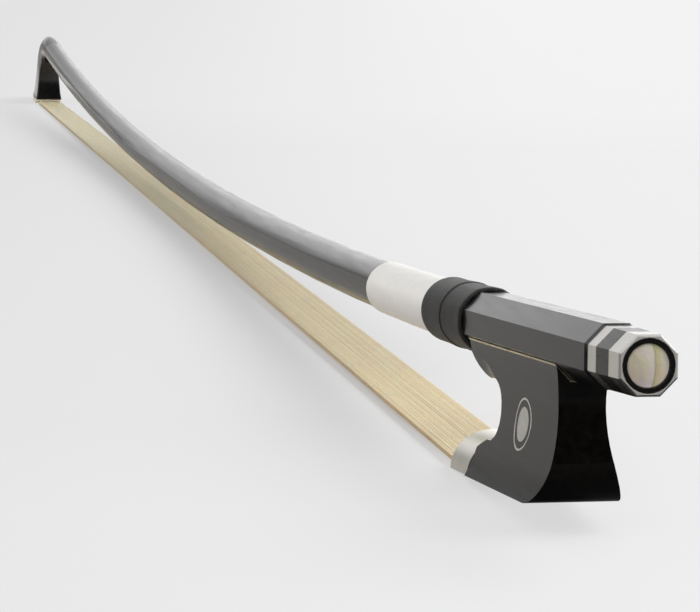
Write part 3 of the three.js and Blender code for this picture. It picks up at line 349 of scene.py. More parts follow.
def finish_copy(node, name, body, material, edge, carve=None):
    """A welded copy of a CAD node with its edges eased by the width edge, shown in place of the node."""
    MERGE, FLAT_ANGLE, CREASE, EDGE_STEPS = 2e-6, math.radians(0.4), math.radians(30), 3
    work = bmesh.new()
    work.from_mesh(frame["nodes"][node].data)
    bmesh.ops.remove_doubles(work, verts=work.verts, dist=MERGE)
    bmesh.ops.dissolve_limit(work, angle_limit=FLAT_ANGLE, verts=work.verts, edges=work.edges)
    if carve:
        carve(work)
    mesh = bpy.data.meshes.new(name)
    work.to_mesh(mesh)
    work.free()
    for attribute in [a for a in mesh.attributes if a.name == "custom_normal"]:
        mesh.attributes.remove(attribute)
    piece = show(name, mesh)
    if edge:
        paint(piece, material, material)
        eased = piece.modifiers.new("edges", "BEVEL")
        eased.width, eased.segments, eased.angle_limit = edge, EDGE_STEPS, CREASE
        eased.material = 1
        settle(piece)
        on_edge = [1.0] * len(piece.data.vertices)
        for face in piece.data.polygons:
            if face.material_index == 0:
                for corner in face.vertices:
                    on_edge[corner] = 0.0
            face.material_index = 0
        piece.data.attributes.new("eased_edge", "FLOAT", "POINT").data.foreach_set("value", on_edge)
    piece.data.shade_smooth()
    piece.data.set_sharp_from_angle(angle=CREASE)
    weighted = piece.modifiers.new("shading", "WEIGHTED_NORMAL")
    weighted.keep_sharp = True
    settle(piece)
    paint(piece, material)
    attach(piece, body)
    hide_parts(node)


lacquer, tree, shader = new_material("black_lacquer", IOR=1.48)
colour, rough = marked(
    tree, shader, scale=700, stretch=(0.06, 1, 1), contrast=1.6,
    colours=((0.003, 0.003, 0.0032), (0.007, 0.007, 0.0073)), roughness=(0.14, 0.26), depth=0.000002)
handled(tree, shader, colour, rough, edge=0.9, edge_colour=(0.06, 0.06, 0.06), dust=0.06)
finish_copy("stick", "lacquered_stick", "bow_stick", lacquer, edge=0.00022)


# Tip plate: a slip of bone on a thin black liner under the head. It is glued on, its beak sweeps up with the
# head's ridge, and its rim is filed down where the hair comes out. The hair's bound end sits in the mortise
# over it, held by a plug of soft wood.
bone, tree, shader = new_material(
    "polished_bone", Subsurface_Weight=0.08, Subsurface_Scale=0.002, Coat_Weight=0.2)
colour, rough = marked(
    tree, shader, scale=900, stretch=(0.08, 1, 1), contrast=1.9,
    colours=((0.70, 0.64, 0.50), (0.86, 0.82, 0.70)), roughness=(0.22, 0.36), depth=0.000006)
handled(tree, shader, colour, rough, edge=0.3, edge_colour=(0.60, 0.52, 0.38), dust=0.1)
finish_copy("tip_plate", "bone_tip_plate", "bow_stick", bone, edge=0.00010)

blackwood, tree, shader = new_material("black_hardwood", IOR=1.45)
colour, rough = marked(
    tree, shader, scale=1500, stretch=(0.05, 1, 1), contrast=2.2,
    colours=((0.002, 0.0016, 0.0014), (0.009, 0.007, 0.006)), roughness=(0.20, 0.32), depth=0.000006)
handled(tree, shader, colour, rough, edge=0.8, edge_colour=(0.09, 0.08, 0.07), dust=0.06)
finish_copy("tip_plate_liner", "black_plate_liner", "bow_stick", blackwood, edge=0)

limewood, tree, shader = new_material("plain_limewood")
marked(
    tree, shader, scale=1400, stretch=(1, 1, 0.08), contrast=2.0,
    colours=((0.50, 0.35, 0.19), (0.68, 0.52, 0.32)), roughness=(0.55, 0.75), depth=0.00002)


def dress(nodes, material):
    """A material for CAD nodes whose shape is right as it is."""
    for node in nodes:
        paint(frame["nodes"][node], material)


dress(["head_plug", "frog_plug", "ferrule_wedge"], limewood)


# Thread bound round the hair's ends: waxed linen in close turns across the bow, tied off before the knots go
# into their mortises.
linen, tree, shader = new_material("waxed_thread", Roughness=0.7, Sheen_Weight=0.2)
marked(
    tree, shader, scale=2600, stretch=(0.3, 1, 0.3), contrast=3.0,
    colours=((0.42, 0.30, 0.16), (0.66, 0.50, 0.30)), roughness=(0.55, 0.8), depth=0.00012)
dress(["head_hair_knot", "frog_hair_knot"], linen)


# Silver lapping: soft silver wire wound close round the stick for 47 mm, to balance the bow and save the
# wood. It follows the stick's slight bend and taper there, and its upper side is darkened with painted
# shade.
TURN = next(joint for joint in frame["joints"] if joint["name"] == "screw_turn")
TIPWARD = Vector(TURN["axis"]).normalized()
HANDLE_UP = Vector((TIPWARD.z, 0, -TIPWARD.x))
STICK_END = 0.0151
BUTTON_FACE = Vector(TURN["pos_m"]) - STICK_END * TIPWARD


def handle_place(distance, height):
    """A point at a distance from the button's face along the handle, and a height over the handle's axis."""
    return BUTTON_FACE + distance * TIPWARD + height * HANDLE_UP


def stick_middle(distance):
    """The stick's axis: straight along the handle, then bending up."""
    BEND_START, BEND_LENGTH, BEND_RISE, BEND_SQUARED, BEND_CUBED = 0.0765, 0.6112, 0.0571, 1.082, -0.448
    run = max(distance - BEND_START, 0) / BEND_LENGTH
    return handle_place(distance, BEND_RISE * (BEND_SQUARED * run ** 2 + BEND_CUBED * run ** 3))


def new_tree(name, inputs):
    """A geometry node tree with named inputs and a mesh output, and the outputs of its input node."""
    tree = bpy.data.node_groups.new(name, "GeometryNodeTree")
    for label, kind in inputs.items():
        tree.interface.new_socket(name=label, in_out="INPUT", socket_type="NodeSocket" + kind)
    tree.interface.new_socket(name="Geometry", in_out="OUTPUT", socket_type="NodeSocketGeometry")
    return tree, place_node(tree, "NodeGroupInput").outputs


def end_tree(tree, geometry, material):
    """Makes a tree's shapes real and gives them their material."""
    whole = place_node(tree, "GeometryNodeRealizeInstances", {"Geometry": geometry}).outputs[0]
    painted = place_node(tree, "GeometryNodeSetMaterial", {"Geometry": whole, "Material": material})
    place_node(tree, "NodeGroupOutput", {"Geometry": painted.outputs[0]})


def make_winding_tree():
    """Round wire wound in a spiral along +Z, which may taper and bow slightly."""
    tree, given = new_tree("wire_winding", {
        "Turns": "Float", "Start Radius": "Float", "End Radius": "Float", "Length": "Float", "Bow": "Float",
        "Wire Radius": "Float", "Turn Steps": "Int", "Wire Sides": "Int", "Material": "Material"})
    spiral = place_node(tree, "GeometryNodeCurveSpiral", {
        "Resolution": given["Turn Steps"], "Rotations": given["Turns"], "Height": given["Length"],
        "Start Radius": given["Start Radius"], "End Radius": given["End Radius"]}).outputs[0]
    along = place_node(tree, "GeometryNodeSplineParameter").outputs["Factor"]
    hump = maths(tree, "MULTIPLY", along, maths(tree, "SUBTRACT", 1.0, along))
    bowed = place_node(tree, "ShaderNodeCombineXYZ", {"X": maths(tree, "MULTIPLY", hump, given["Bow"])})
    placed = place_node(tree, "GeometryNodeSetPosition", {"Geometry": spiral, "Offset": bowed.outputs[0]})
    wire = place_node(tree, "GeometryNodeCurvePrimitiveCircle", {
        "Resolution": given["Wire Sides"], "Radius": given["Wire Radius"]})
    wound = place_node(tree, "GeometryNodeCurveToMesh", {
        "Curve": placed.outputs[0], "Profile Curve": wire.outputs["Curve"], "Fill Caps": True})
    end_tree(tree, wound.outputs[0], given["Material"])
    return tree


def grow(name, host, tree, values):
    """Runs a geometry node tree on a host object and leaves its result as a plain mesh."""
    maker = host.modifiers.new("maker", "NODES")
    maker.node_group = tree
    sockets = {item.name: item.identifier for item in tree.interface.items_tree if item.in_out == "INPUT"}
    for label, value in values.items():
        maker[sockets[label]] = value
    graph = bpy.context.evaluated_depsgraph_get()
    mesh = bpy.data.meshes.new_from_object(host.evaluated_get(graph), depsgraph=graph)
    host.modifiers.clear()
    bpy.data.objects.remove(host)
    mesh.name = name
    mesh.shade_smooth()
    return show(name, mesh)


def wind(name, start, end, values):
    """A wire winding from start to end, both in the frame; its local +X is the handle's up."""
    host = show(name + "_host", bpy.data.meshes.new(name + "_host"))
    piece = grow(name, host, WINDING, {"Length": (end - start).length, **values})
    axis = (end - start).normalized()
    side = axis.cross(HANDLE_UP).normalized()
    turn = Matrix((side.cross(axis), side, axis)).transposed().to_4x4()
    piece.data.transform(Matrix.Translation(start) @ turn)
    return piece


def tinted(tree, colour, tint):
    """A colour with another laid over it like a film."""
    return mixed(tree, 1.0, colour, tint, blend_type="MULTIPLY")


def paint_top_shade(tree, shader, colour, level):
    """Painted shade on silver where it faces up: its colour falls to a level there."""
    TOP_SHADE_FROM, TOP_SHADE_FULL = 0.35, 0.95
    normal = place_node(tree, "ShaderNodeNewGeometry").outputs["Normal"]
    film = place_ramp(tree, facing(tree, normal, HANDLE_UP), [(TOP_SHADE_FROM, 1.0), (TOP_SHADE_FULL, level)])
    feed(tree, shader, {"Base Color": tinted(tree, colour, film)})


WINDING = make_winding_tree()
silver_wire, tree, shader = new_material("silver_wire", Metallic=1.0)
colour, rough = marked(
    tree, shader, scale=1800, stretch=(1, 0.2, 0.2), contrast=2.0,
    colours=((0.92, 0.905, 0.88), (0.99, 0.975, 0.95)), roughness=(0.62, 0.78), depth=0.000003)
# Painted shade: the lapping's faces turned up are darkened to 72 per cent of their colour.
paint_top_shade(tree, shader, colour, level=0.72)
LAPPING_START, LAPPING_END, LAPPING_WIRE = 0.11228, 0.1591, 0.00036
lapping = wind("wound_silver_lapping", stick_middle(LAPPING_START), stick_middle(LAPPING_END), {
    "Turns": (LAPPING_END - LAPPING_START) / LAPPING_WIRE, "Start Radius": 0.0053, "End Radius": 0.00516,
    "Bow": -0.0004, "Wire Radius": LAPPING_WIRE / 2, "Turn Steps": 40, "Wire Sides": 8,
    "Material": silver_wire})
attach(lapping, "bow_stick")
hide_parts("silver_lapping")


# Thumb grip: a sleeve of black calf leather skived thin at its edges, wrapped and glued round the handle's
# front, and a thicker band of the same leather in front of it, butted against the lapping.
def join_rings(name, rings, sharp_degrees, closed):
    """A mesh of rings of points, each joined to the next, with flat ends unless it closes on itself."""
    work = bmesh.new()
    rings = [[work.verts.new(point) for point in ring] for ring in rings]
    for first, second in zip(rings, rings[1:] + ([rings[0]] if closed else [])):
        for step in range(len(first)):
            after = (step + 1) % len(first)
            work.faces.new((first[step], first[after], second[after], second[step]))
    if not closed:
        work.faces.new(rings[0])
        work.faces.new(rings[-1])
    bmesh.ops.recalc_face_normals(work, faces=work.faces)
    mesh = bpy.data.meshes.new(name)
    work.to_mesh(mesh)
    work.free()
    mesh.shade_smooth()
    mesh.set_sharp_from_angle(angle=math.radians(sharp_degrees))
    return show(name, mesh)


def handle_ring(middle, radii):
    """Points round the handle's axis, one for each radius, from its top towards the far side."""
    angles = [step / len(radii) * math.tau for step in range(len(radii))]
    return [
        middle + HANDLE_UP * (radius * math.cos(angle)) + Vector((0, radius * math.sin(angle), 0))
        for radius, angle in zip(radii, angles)]


def leather_ring(distance, wall):
    """One ring of a sleeve: it covers eight flats that fade to a round, and softens their corners."""
    TURN_STEPS, FLAT, ROUND, ROUND_START, FADE = 96, 0.00525, 0.0051, 0.1081, 0.016
    SOFTNESS, SOFT_OVER_FLAT = 0.75, 1.02
    fade = min(max((distance - ROUND_START + FADE) / FADE, 0), 1)
    radii = []
    for step in range(TURN_STEPS):
        facet = step / TURN_STEPS * math.tau % (math.pi / 4)
        eight = FLAT / math.cos(min(facet, math.pi / 4 - facet))
        under = eight + (ROUND - eight) * fade
        soft = FLAT * SOFT_OVER_FLAT + (ROUND - FLAT) * fade
        radii.append(under * (1 - SOFTNESS) + soft * SOFTNESS + wall)
    return handle_ring(stick_middle(distance), radii)


def leather_sleeve(name, start, length, wall, back_rim, front_rim):
    """A sleeve with rounded rims that lies a little slack between them."""
    RIM_STEPS, LENGTH_STEPS, GLUE, SLACK, SHARP_DEGREES = 6, 28, 0.00008, 0.00006, 50
    rows = [(start, GLUE)]
    for step in range(RIM_STEPS + 1):
        angle = step / RIM_STEPS * math.pi / 2
        rows.append((start + back_rim * (1 - math.cos(angle)), wall - back_rim * (1 - math.sin(angle))))
    for step in range(1, LENGTH_STEPS):
        share = step / LENGTH_STEPS
        between = length - back_rim - front_rim
        rows.append((start + back_rim + between * share, wall - SLACK * math.sin(share * math.pi) ** 2))
    for step in range(RIM_STEPS + 1):
        angle = (1 - step / RIM_STEPS) * math.pi / 2
        rows.append((
            start + length - front_rim * (1 - math.cos(angle)), wall - front_rim * (1 - math.sin(angle))))
    rows.append((start + length, GLUE))
    return join_rings(name, [leather_ring(*row) for row in rows], SHARP_DEGREES, closed=True)


PEBBLE_SCALE, PEBBLE_BEND, BEND_SCALE, PATINA_SCALE = 1700, 0.0006, 900, 240
CREASE_WIDTH, CREASE_DEPTH = 0.28, 0.00006
# Painted shade: the creases between the grain's pebbles take a colour darker than most of the hide.
CREASE_SHADE_COLOUR = (0.010, 0.0095, 0.009, 1)
HIDE_STOPS = [(0.3, (0.009, 0.0085, 0.0075)), (0.55, (0.016, 0.015, 0.0135)), (0.8, (0.027, 0.025, 0.022))]
calf, tree, shader = new_material("black_calf_leather", IOR=1.4, Sheen_Weight=0.04, Sheen_Roughness=0.5)
place = own_place(tree)
bent = place_node(tree, "ShaderNodeTexNoise", {
    "Vector": place, "Scale": BEND_SCALE, "Detail": 2}).outputs["Color"]
warped = place_node(tree, "ShaderNodeVectorMath", {
    0: bent, 1: (PEBBLE_BEND,) * 3, 2: place}, operation="MULTIPLY_ADD").outputs[0]
pebbles = place_node(tree, "ShaderNodeTexVoronoi", {
    "Vector": warped, "Scale": PEBBLE_SCALE}, feature="DISTANCE_TO_EDGE").outputs["Distance"]
grain = graded(tree, pebbles, 0, CREASE_WIDTH)
patina = noise(tree, place, PATINA_SCALE, 4)
feed(tree, shader, {
    "Base Color": mixed(tree, grain, CREASE_SHADE_COLOUR, place_ramp(tree, patina, HIDE_STOPS)),
    "Roughness": graded(tree, patina, 0, 1, low=0.62, high=0.45),
    "Normal": bumps(tree, grain, CREASE_DEPTH)})
for name, node, sizes in (
        ("leather_thumb_grip", "thumb_grip", {
            "start": 0.0862, "length": 0.01247, "wall": 0.0008, "back_rim": 0.0004, "front_rim": 0.00012}),
        ("leather_front_band", "grip_front_band", {
            "start": 0.0987, "length": 0.0135, "wall": 0.0010, "back_rim": 0.00025, "front_rim": 0.0005})):
    sleeve = leather_sleeve(name, **sizes)
    paint(sleeve, calf)
    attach(sleeve, "bow_stick")
    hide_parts(node)


# Frog: one block of ebony, hollowed along both sides, rounded at its heel and cut out in front to a round
# throat. It is carved, oiled and polished, and rides on the stick's three lower facets.
PORE_SCALE, PORE_STRETCH, PORE_FROM, PORE_FULL = 5200, (0.09, 1, 1), 0.66, 0.76
PORE_COLOUR = (0.002, 0.002, 0.002, 1)
ebony, tree, shader = new_material("oiled_ebony", IOR=1.4)
colour, rough = marked(
    tree, shader, scale=620, stretch=(0.05, 1, 1), contrast=2.4,
    colours=((0.0018, 0.0014, 0.0012), (0.008, 0.0062, 0.0052)), roughness=(0.16, 0.26), depth=0.000004)
place = own_place(tree)
pores = noise(tree, vectors(tree, "MULTIPLY", place, PORE_STRETCH), PORE_SCALE, 1)
oiled = mixed(tree, graded(tree, pores, PORE_FROM, PORE_FULL), colour, PORE_COLOUR)
handled(tree, shader, oiled, rough, edge=0.8, edge_colour=(0.10, 0.085, 0.07), dust=0.05)


def on_handle(place):
    """A place's distance from the button's face along the handle, and its height over the handle's axis."""
    return (place - BUTTON_FACE).dot(TIPWARD), (place - BUTTON_FACE).dot(HANDLE_UP)


def line_gap(distance, height, line):
    """How far a point lies from a line between two points."""
    TINY = 1e-12
    first, second = Vector(line[:2]), Vector(line[2:])
    run = second - first
    share = max(0, min(1, (Vector((distance, height)) - first).dot(run) / max(run.length_squared, TINY)))
    return (first + run * share - Vector((distance, height))).length


def cut_fine(work, wanted, box, cut):
    """Cuts the wanted faces that reach into a box of distances and heights into pieces of one size."""
    TOUCH = 1e-6
    back, front, low, high = box

    def inside():
        faces = []
        for face in work.faces:
            ends = [on_handle(corner.co) for corner in face.verts]
            along, up = zip(*ends)
            reaches_in = min(along) < front and max(along) > back and min(up) < high and max(up) > low
            if wanted(face) and reaches_in:
                faces.append(face)
        return faces

    for start, stop, direction in ((back, front, TIPWARD), (low, high, HANDLE_UP)):
        for step in range(int((stop - start) / cut) + 1):
            level = start + step * cut
            near = []
            for face in inside():
                ends = [(corner.co - BUTTON_FACE).dot(direction) for corner in face.verts]
                if min(ends) < level - TOUCH and max(ends) > level + TOUCH:
                    near.append(face)
            edges = {edge for face in near for edge in face.edges}
            corners = {corner for face in near for corner in face.verts}
            bmesh.ops.bisect_plane(
                work, geom=near + list(edges) + list(corners), dist=TOUCH,
                plane_co=BUTTON_FACE + level * direction, plane_no=direction)
    return inside()


def is_side(face):
    """Whether a face is part of the frog's two sides."""
    FACING_OUT, OFF_MIDDLE = 0.55, 0.003
    return abs(face.normal.y) > FACING_OUT and abs(face.calc_center_median().y) > OFF_MIDDLE


def finish_throat(work):
    """Leans the frog's sides in at the edge of its nose, and raises their tops to the seat's strip."""
    BACK, FRONT, LOW, HIGH, CUT = 0.0690, 0.0829, -0.0090, -0.0042, 0.00025
    EDGE_ANGLE, BACK_MARGIN, LOW_MARGIN = 0.6, 0.003, 0.002
    NOSE_BACK, NOSE_FRONT, NOSE_FULLNESS = 0.0692, 0.0812, 0.8
    REACH, LEAN, DROP, DROP_REACH = 0.0023, 0.25, 0.0006, 0.0030
    SEAT_LOW, SEAT_HIGH, SEAT_SIDE, SEAT_RISE, SEAT_FLARE = -0.0034, -0.0031, 0.0044, 0.00050, 0.00014

    side_edges = {edge for face in work.faces if is_side(face) for edge in face.edges}
    edge_lines = []
    for edge in side_edges:
        ends = [on_handle(corner.co) for corner in edge.verts]
        if edge.calc_face_angle(0) > EDGE_ANGLE and all(
                distance > BACK - BACK_MARGIN and LOW - LOW_MARGIN < height < SEAT_LOW
                for distance, height in ends):
            edge_lines.append((*ends[0], *ends[1]))
    side_faces = cut_fine(work, is_side, (BACK, FRONT, LOW, HIGH), CUT)
    on_sides = {corner for face in side_faces for corner in face.verts}
    for corner in work.verts:
        distance, height = on_handle(corner.co)
        if SEAT_LOW < height < SEAT_HIGH and abs(corner.co.y) > SEAT_SIDE:
            corner.co += SEAT_RISE * HANDLE_UP + Vector((0, math.copysign(SEAT_FLARE, corner.co.y), 0))
        if not (NOSE_BACK < distance < NOSE_FRONT and LOW < height < HIGH):
            continue
        swell = math.sin((distance - NOSE_BACK) / (NOSE_FRONT - NOSE_BACK) * math.pi) ** NOSE_FULLNESS
        nearest = min(line_gap(distance, height, line) for line in edge_lines)
        lean = max(REACH * swell - nearest, 0) * LEAN
        if corner in on_sides:
            corner.co.y -= math.copysign(lean, corner.co.y)
        corner.co -= DROP * swell * max(1 - nearest / DROP_REACH, 0) * HANDLE_UP


finish_copy("frog_body", "carved_frog", "frog", ebony, edge=0.00016, carve=finish_throat)


# Seat of the frog: a thin strip of nickel silver, warm in tone, bent to the stick's three lower facets and
# held up in the frog by two silver pins. The pins are driven through it and filed flush.
silver, tree, shader = new_material("polished_silver", Metallic=1.0)
marked(
    tree, shader, scale=900, stretch=(1, 0.12, 0.12), contrast=1.8,
    colours=((0.74, 0.715, 0.68), (0.86, 0.835, 0.80)), roughness=(0.14, 0.26), depth=0.000003)
strip_metal, tree, shader = new_material("warm_nickel_strip", Metallic=1.0)
marked(
    tree, shader, scale=1200, stretch=(0.08, 1, 1), contrast=1.8,
    colours=((0.66, 0.58, 0.40), (0.84, 0.77, 0.58)), roughness=(0.22, 0.38), depth=0.000004)


def turn_up_rims(work):
    """Draws the strip's long rims a little further up the stick's facets, and thins them from below."""
    RIM_SIDE, RIM_RISE, RIM_LOW, THINNED = 0.0046, 0.00015, -0.0029, 0.00014
    for corner in work.verts:
        if abs(corner.co.y) > RIM_SIDE:
            rise = RIM_RISE + (THINNED if on_handle(corner.co)[1] < RIM_LOW else 0)
            corner.co += rise * HANDLE_UP + Vector((0, math.copysign(RIM_RISE, corner.co.y), 0))


finish_copy(
    "underslide_liner", "bent_seat_strip", "frog", strip_metal, edge=0.00004,
    carve=turn_up_rims)
for end in ("back", "front"):
    finish_copy("liner_pin_" + end, "seat_pin_" + end, "frog", silver, edge=0.00008)


# Eyes: on both sides a silver ring let into the frog, with a disc of mother-of-pearl inside it. They are set
# in shallow pockets with glue and filed to the hollow of the frog's side.
def make_nacre(name, dark, pale, rosy, greenish):
    """Mother-of-pearl: wavy layers in two hues over its own pale colour, polished glassy."""
    SWIRL_SCALE, SWIRL_TWIST, LAYER_SCALE, LAYER_TWIST, RIPPLE_DEPTH = 300, 0.8, 130, 9, 0.00003
    material, tree, shader = new_material(name, IOR=1.5, Coat_Weight=0.6, Coat_Roughness=0.04)
    place = own_place(tree)
    swirl = noise(tree, place, SWIRL_SCALE, 3, Distortion=SWIRL_TWIST)
    layers = place_node(tree, "ShaderNodeTexWave", {
        "Vector": place, "Scale": LAYER_SCALE, "Distortion": LAYER_TWIST, "Detail": 3, "Detail Scale": 2.5},
        bands_direction="DIAGONAL").outputs["Fac"]
    body_tone = place_ramp(tree, swirl, [(0.32, dark), (0.68, pale)])
    hues = place_ramp(tree, layers, [(0.15, rosy), (0.5, pale), (0.85, greenish)])
    colour = mixed(tree, 0.5, body_tone, hues)
    feed(tree, shader, {
        "Base Color": colour, "Roughness": graded(tree, swirl, 0, 1, low=0.14, high=0.30),
        "Normal": bumps(tree, layers, RIPPLE_DEPTH)})
    return material, tree, shader, colour


eye_nacre, *_ = make_nacre(
    "eye_pearl_shell", dark=(0.30, 0.29, 0.25), pale=(0.52, 0.50, 0.44), rosy=(0.50, 0.42, 0.42),
    greenish=(0.40, 0.47, 0.40))
for side in ("near", "far"):
    finish_copy("eye_ring_" + side, "silver_eye_ring_" + side, "frog", silver, edge=0.00008)
    finish_copy("eye_pearl_" + side, "shell_eye_" + side, "frog", eye_nacre, edge=0.00010)


# Ferrule: a band of silver, flat below and arched above, pressed on the frog's tongue. The hair comes out
# through it, spread flat by a limewood wedge.
drawn_silver, tree, shader = new_material("drawn_silver", Metallic=1.0)
marked(
    tree, shader, scale=900, stretch=(1, 0.12, 0.12), contrast=1.8,
    colours=((0.69, 0.665, 0.595), (0.79, 0.765, 0.70)), roughness=(0.26, 0.38), depth=0.000003)
finish_copy("ferrule", "arched_silver_ferrule", "frog", drawn_silver, edge=0.00018)


# Slide: a long plate of mother-of-pearl glued on an ebony base, dovetailed into the frog's underside to
# close the hair's channel. A limewood plug keeps the hair's knot in its mortise behind it.
slide_nacre, *_ = make_nacre(
    "slide_pearl_shell", dark=(0.46, 0.46, 0.42), pale=(0.78, 0.77, 0.70), rosy=(0.72, 0.62, 0.64),
    greenish=(0.60, 0.70, 0.62))
finish_copy("slide_base", "dovetailed_slide_base", "frog", ebony, edge=0.00005)
finish_copy("slide_pearl", "shell_slide", "frog", slide_nacre, edge=0.00008)


# Eyelet: a block of brass on a screwed stem that stands in the frog and reaches up into the stick's mortise.
# The screw runs through its threaded hole and draws the frog back.
brass, tree, shader = new_material("machined_brass", Metallic=1.0)
marked(
    tree, shader, scale=1500, stretch=(0.1, 1, 1), contrast=2.0,
    colours=((0.66, 0.44, 0.17), (0.86, 0.66, 0.33)), roughness=(0.20, 0.36), depth=0.000005)
finish_copy("eyelet", "brass_eyelet", "frog", brass, edge=0.00015)


# Screw: a turned steel rod with a fine thread cut along it, a plain neck where it is let into the button,
# and a thin nose that turns in the stick's end bearing.
steel, tree, shader = new_material("turned_steel", Metallic=1.0)
marked(
    tree, shader, scale=1600, stretch=(1, 0.1, 0.1), contrast=2.0,
    colours=((0.46, 0.46, 0.47), (0.64, 0.64, 0.66)), roughness=(0.18, 0.32), depth=0.000004)
ROD, ROOT, NOSE, PITCH = 0.0016, 0.00128, 0.0010, 0.0007
ROD_START, THREAD_START, THREAD_END, ROD_END, NOSE_END = 0.0032, 0.0300, 0.0566, 0.0568, 0.0628
BACK_CHAMFER, RUN_OUT, NOSE_ROUND, NOSE_CHAMFER = 0.0002, 0.0003, 0.0006, 0.0004
ROD_SIDES, ROD_SHARP_DEGREES, THREAD_SHARP_DEGREES = 32, 28, 40
rod_profile = [
    (ROD_START, ROD - BACK_CHAMFER), (ROD_START + BACK_CHAMFER, ROD), (THREAD_START - RUN_OUT, ROD),
    (THREAD_START, ROOT), (THREAD_END - RUN_OUT, ROOT), (THREAD_END, NOSE), (ROD_END, NOSE),
    (NOSE_END - NOSE_ROUND, NOSE), (NOSE_END, NOSE - NOSE_CHAMFER)]
rod = join_rings(
    "turned_screw_rod",
    [handle_ring(handle_place(distance, 0), [radius] * ROD_SIDES) for distance, radius in rod_profile],
    ROD_SHARP_DEGREES, closed=False)
paint(rod, steel)
thread = wind("screw_thread", handle_place(THREAD_START, 0), handle_place(THREAD_END - RUN_OUT, 0), {
    "Turns": (THREAD_END - RUN_OUT - THREAD_START) / PITCH, "Start Radius": ROOT, "End Radius": ROOT,
    "Bow": 0.0, "Wire Radius": ROD - ROOT, "Turn Steps": 32, "Wire Sides": 4, "Material": steel})
thread.data.set_sharp_from_angle(angle=math.radians(THREAD_SHARP_DEGREES))
for piece in (rod, thread):
    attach(piece, "screw")
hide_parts("screw_shaft")


# Button: an ebony core on the screw, with a silver collar at each end and a disc of mother-of-pearl in its
# back. It is turned round, then filed to eight flats that carry on the handle's own.
LATHE_FROM, LATHE_FULL, LATHE_ROUGHER = 0.6, 0.95, 0.45
# Painted shade on the collars' chamfers: their colour set by how far they turn back.
CHAMFER_SHADE_STOPS = [(0.25, 1.0), (0.5, 0.5), (0.85, 0.5), (0.95, 1.0)]
turned_silver, tree, shader = new_material("turned_silver", Metallic=1.0)
colour, rough = marked(
    tree, shader, scale=900, stretch=(1, 0.12, 0.12), contrast=1.8,
    colours=((0.72, 0.70, 0.665), (0.84, 0.815, 0.78)), roughness=(0.16, 0.28), depth=0.000003)
normal = place_node(tree, "ShaderNodeNewGeometry").outputs["Normal"]
turned_back = facing(tree, normal, -TIPWARD)
faced_off = graded(tree, turned_back, LATHE_FROM, LATHE_FULL, high=LATHE_ROUGHER)
feed(tree, shader, {"Roughness": maths(tree, "ADD", rough, faced_off)})
# Painted shade: the collars' chamfers are darkened to half, and their faces turned up to 60 per cent.
shaded_chamfers = tinted(tree, colour, place_ramp(tree, turned_back, CHAMFER_SHADE_STOPS))
paint_top_shade(tree, shader, shaded_chamfers, level=0.60)

# The pearl's disc is cut across two layers of the shell that meet in a bowed seam. Painted light and shade
# lie over them, brighter near the disc's bottom and top than across its middle.
PEARL_HALF, SEAM_BOW = 0.0034, 39
LAYER_STOPS = [
    (0.0, (0.84, 0.81, 0.68)), (0.22, (0.86, 0.82, 0.72)), (0.45, (0.97, 0.93, 0.91)),
    (0.63, (1.0, 0.96, 1.0)), (0.652, (0.66, 0.62, 0.41)), (0.70, (0.83, 0.79, 0.52)),
    (0.84, (0.97, 0.92, 0.78)), (1.0, (0.93, 0.97, 1.0))]
PAINTED_LIGHT_STOPS = [
    (0.0, (1.05, 1.02, 1.03)), (0.35, (0.99, 0.94, 0.89)), (0.62, (0.95, 0.96, 0.86)),
    (0.9, (1.05, 1.05, 1.02))]
button_nacre, tree, shader, colour = make_nacre(
    "button_pearl_shell", dark=(0.76, 0.71, 0.61), pale=(0.95, 0.91, 0.86), rosy=(0.92, 0.83, 0.90),
    greenish=(0.90, 0.90, 0.74))
place = own_place(tree)
from_middle = vectors(tree, "SUBTRACT", place, BUTTON_FACE)
spot = split(tree, from_middle)
across = maths(tree, "MULTIPLY_ADD", maths(tree, "POWER", spot["Z"], 2.0), SEAM_BOW, spot["Y"])
# The first ramp is the shell's two layers; the second is painted light and shade by height.
for value, stops in ((across, LAYER_STOPS), (spot["Z"], PAINTED_LIGHT_STOPS)):
    colour = tinted(tree, colour, place_ramp(tree, graded(tree, value, -PEARL_HALF, PEARL_HALF), stops))
feed(tree, shader, {"Base Color": colour})
finish_copy("button_core", "ebony_button_core", "screw", blackwood, edge=0.00008)
finish_copy("button_back_collar", "silver_back_collar", "screw", turned_silver, edge=0.00004)
finish_copy("button_front_collar", "silver_front_collar", "screw", turned_silver, edge=0.00007)
finish_copy("button_pearl", "shell_button_end", "screw", button_nacre, edge=0.00008)


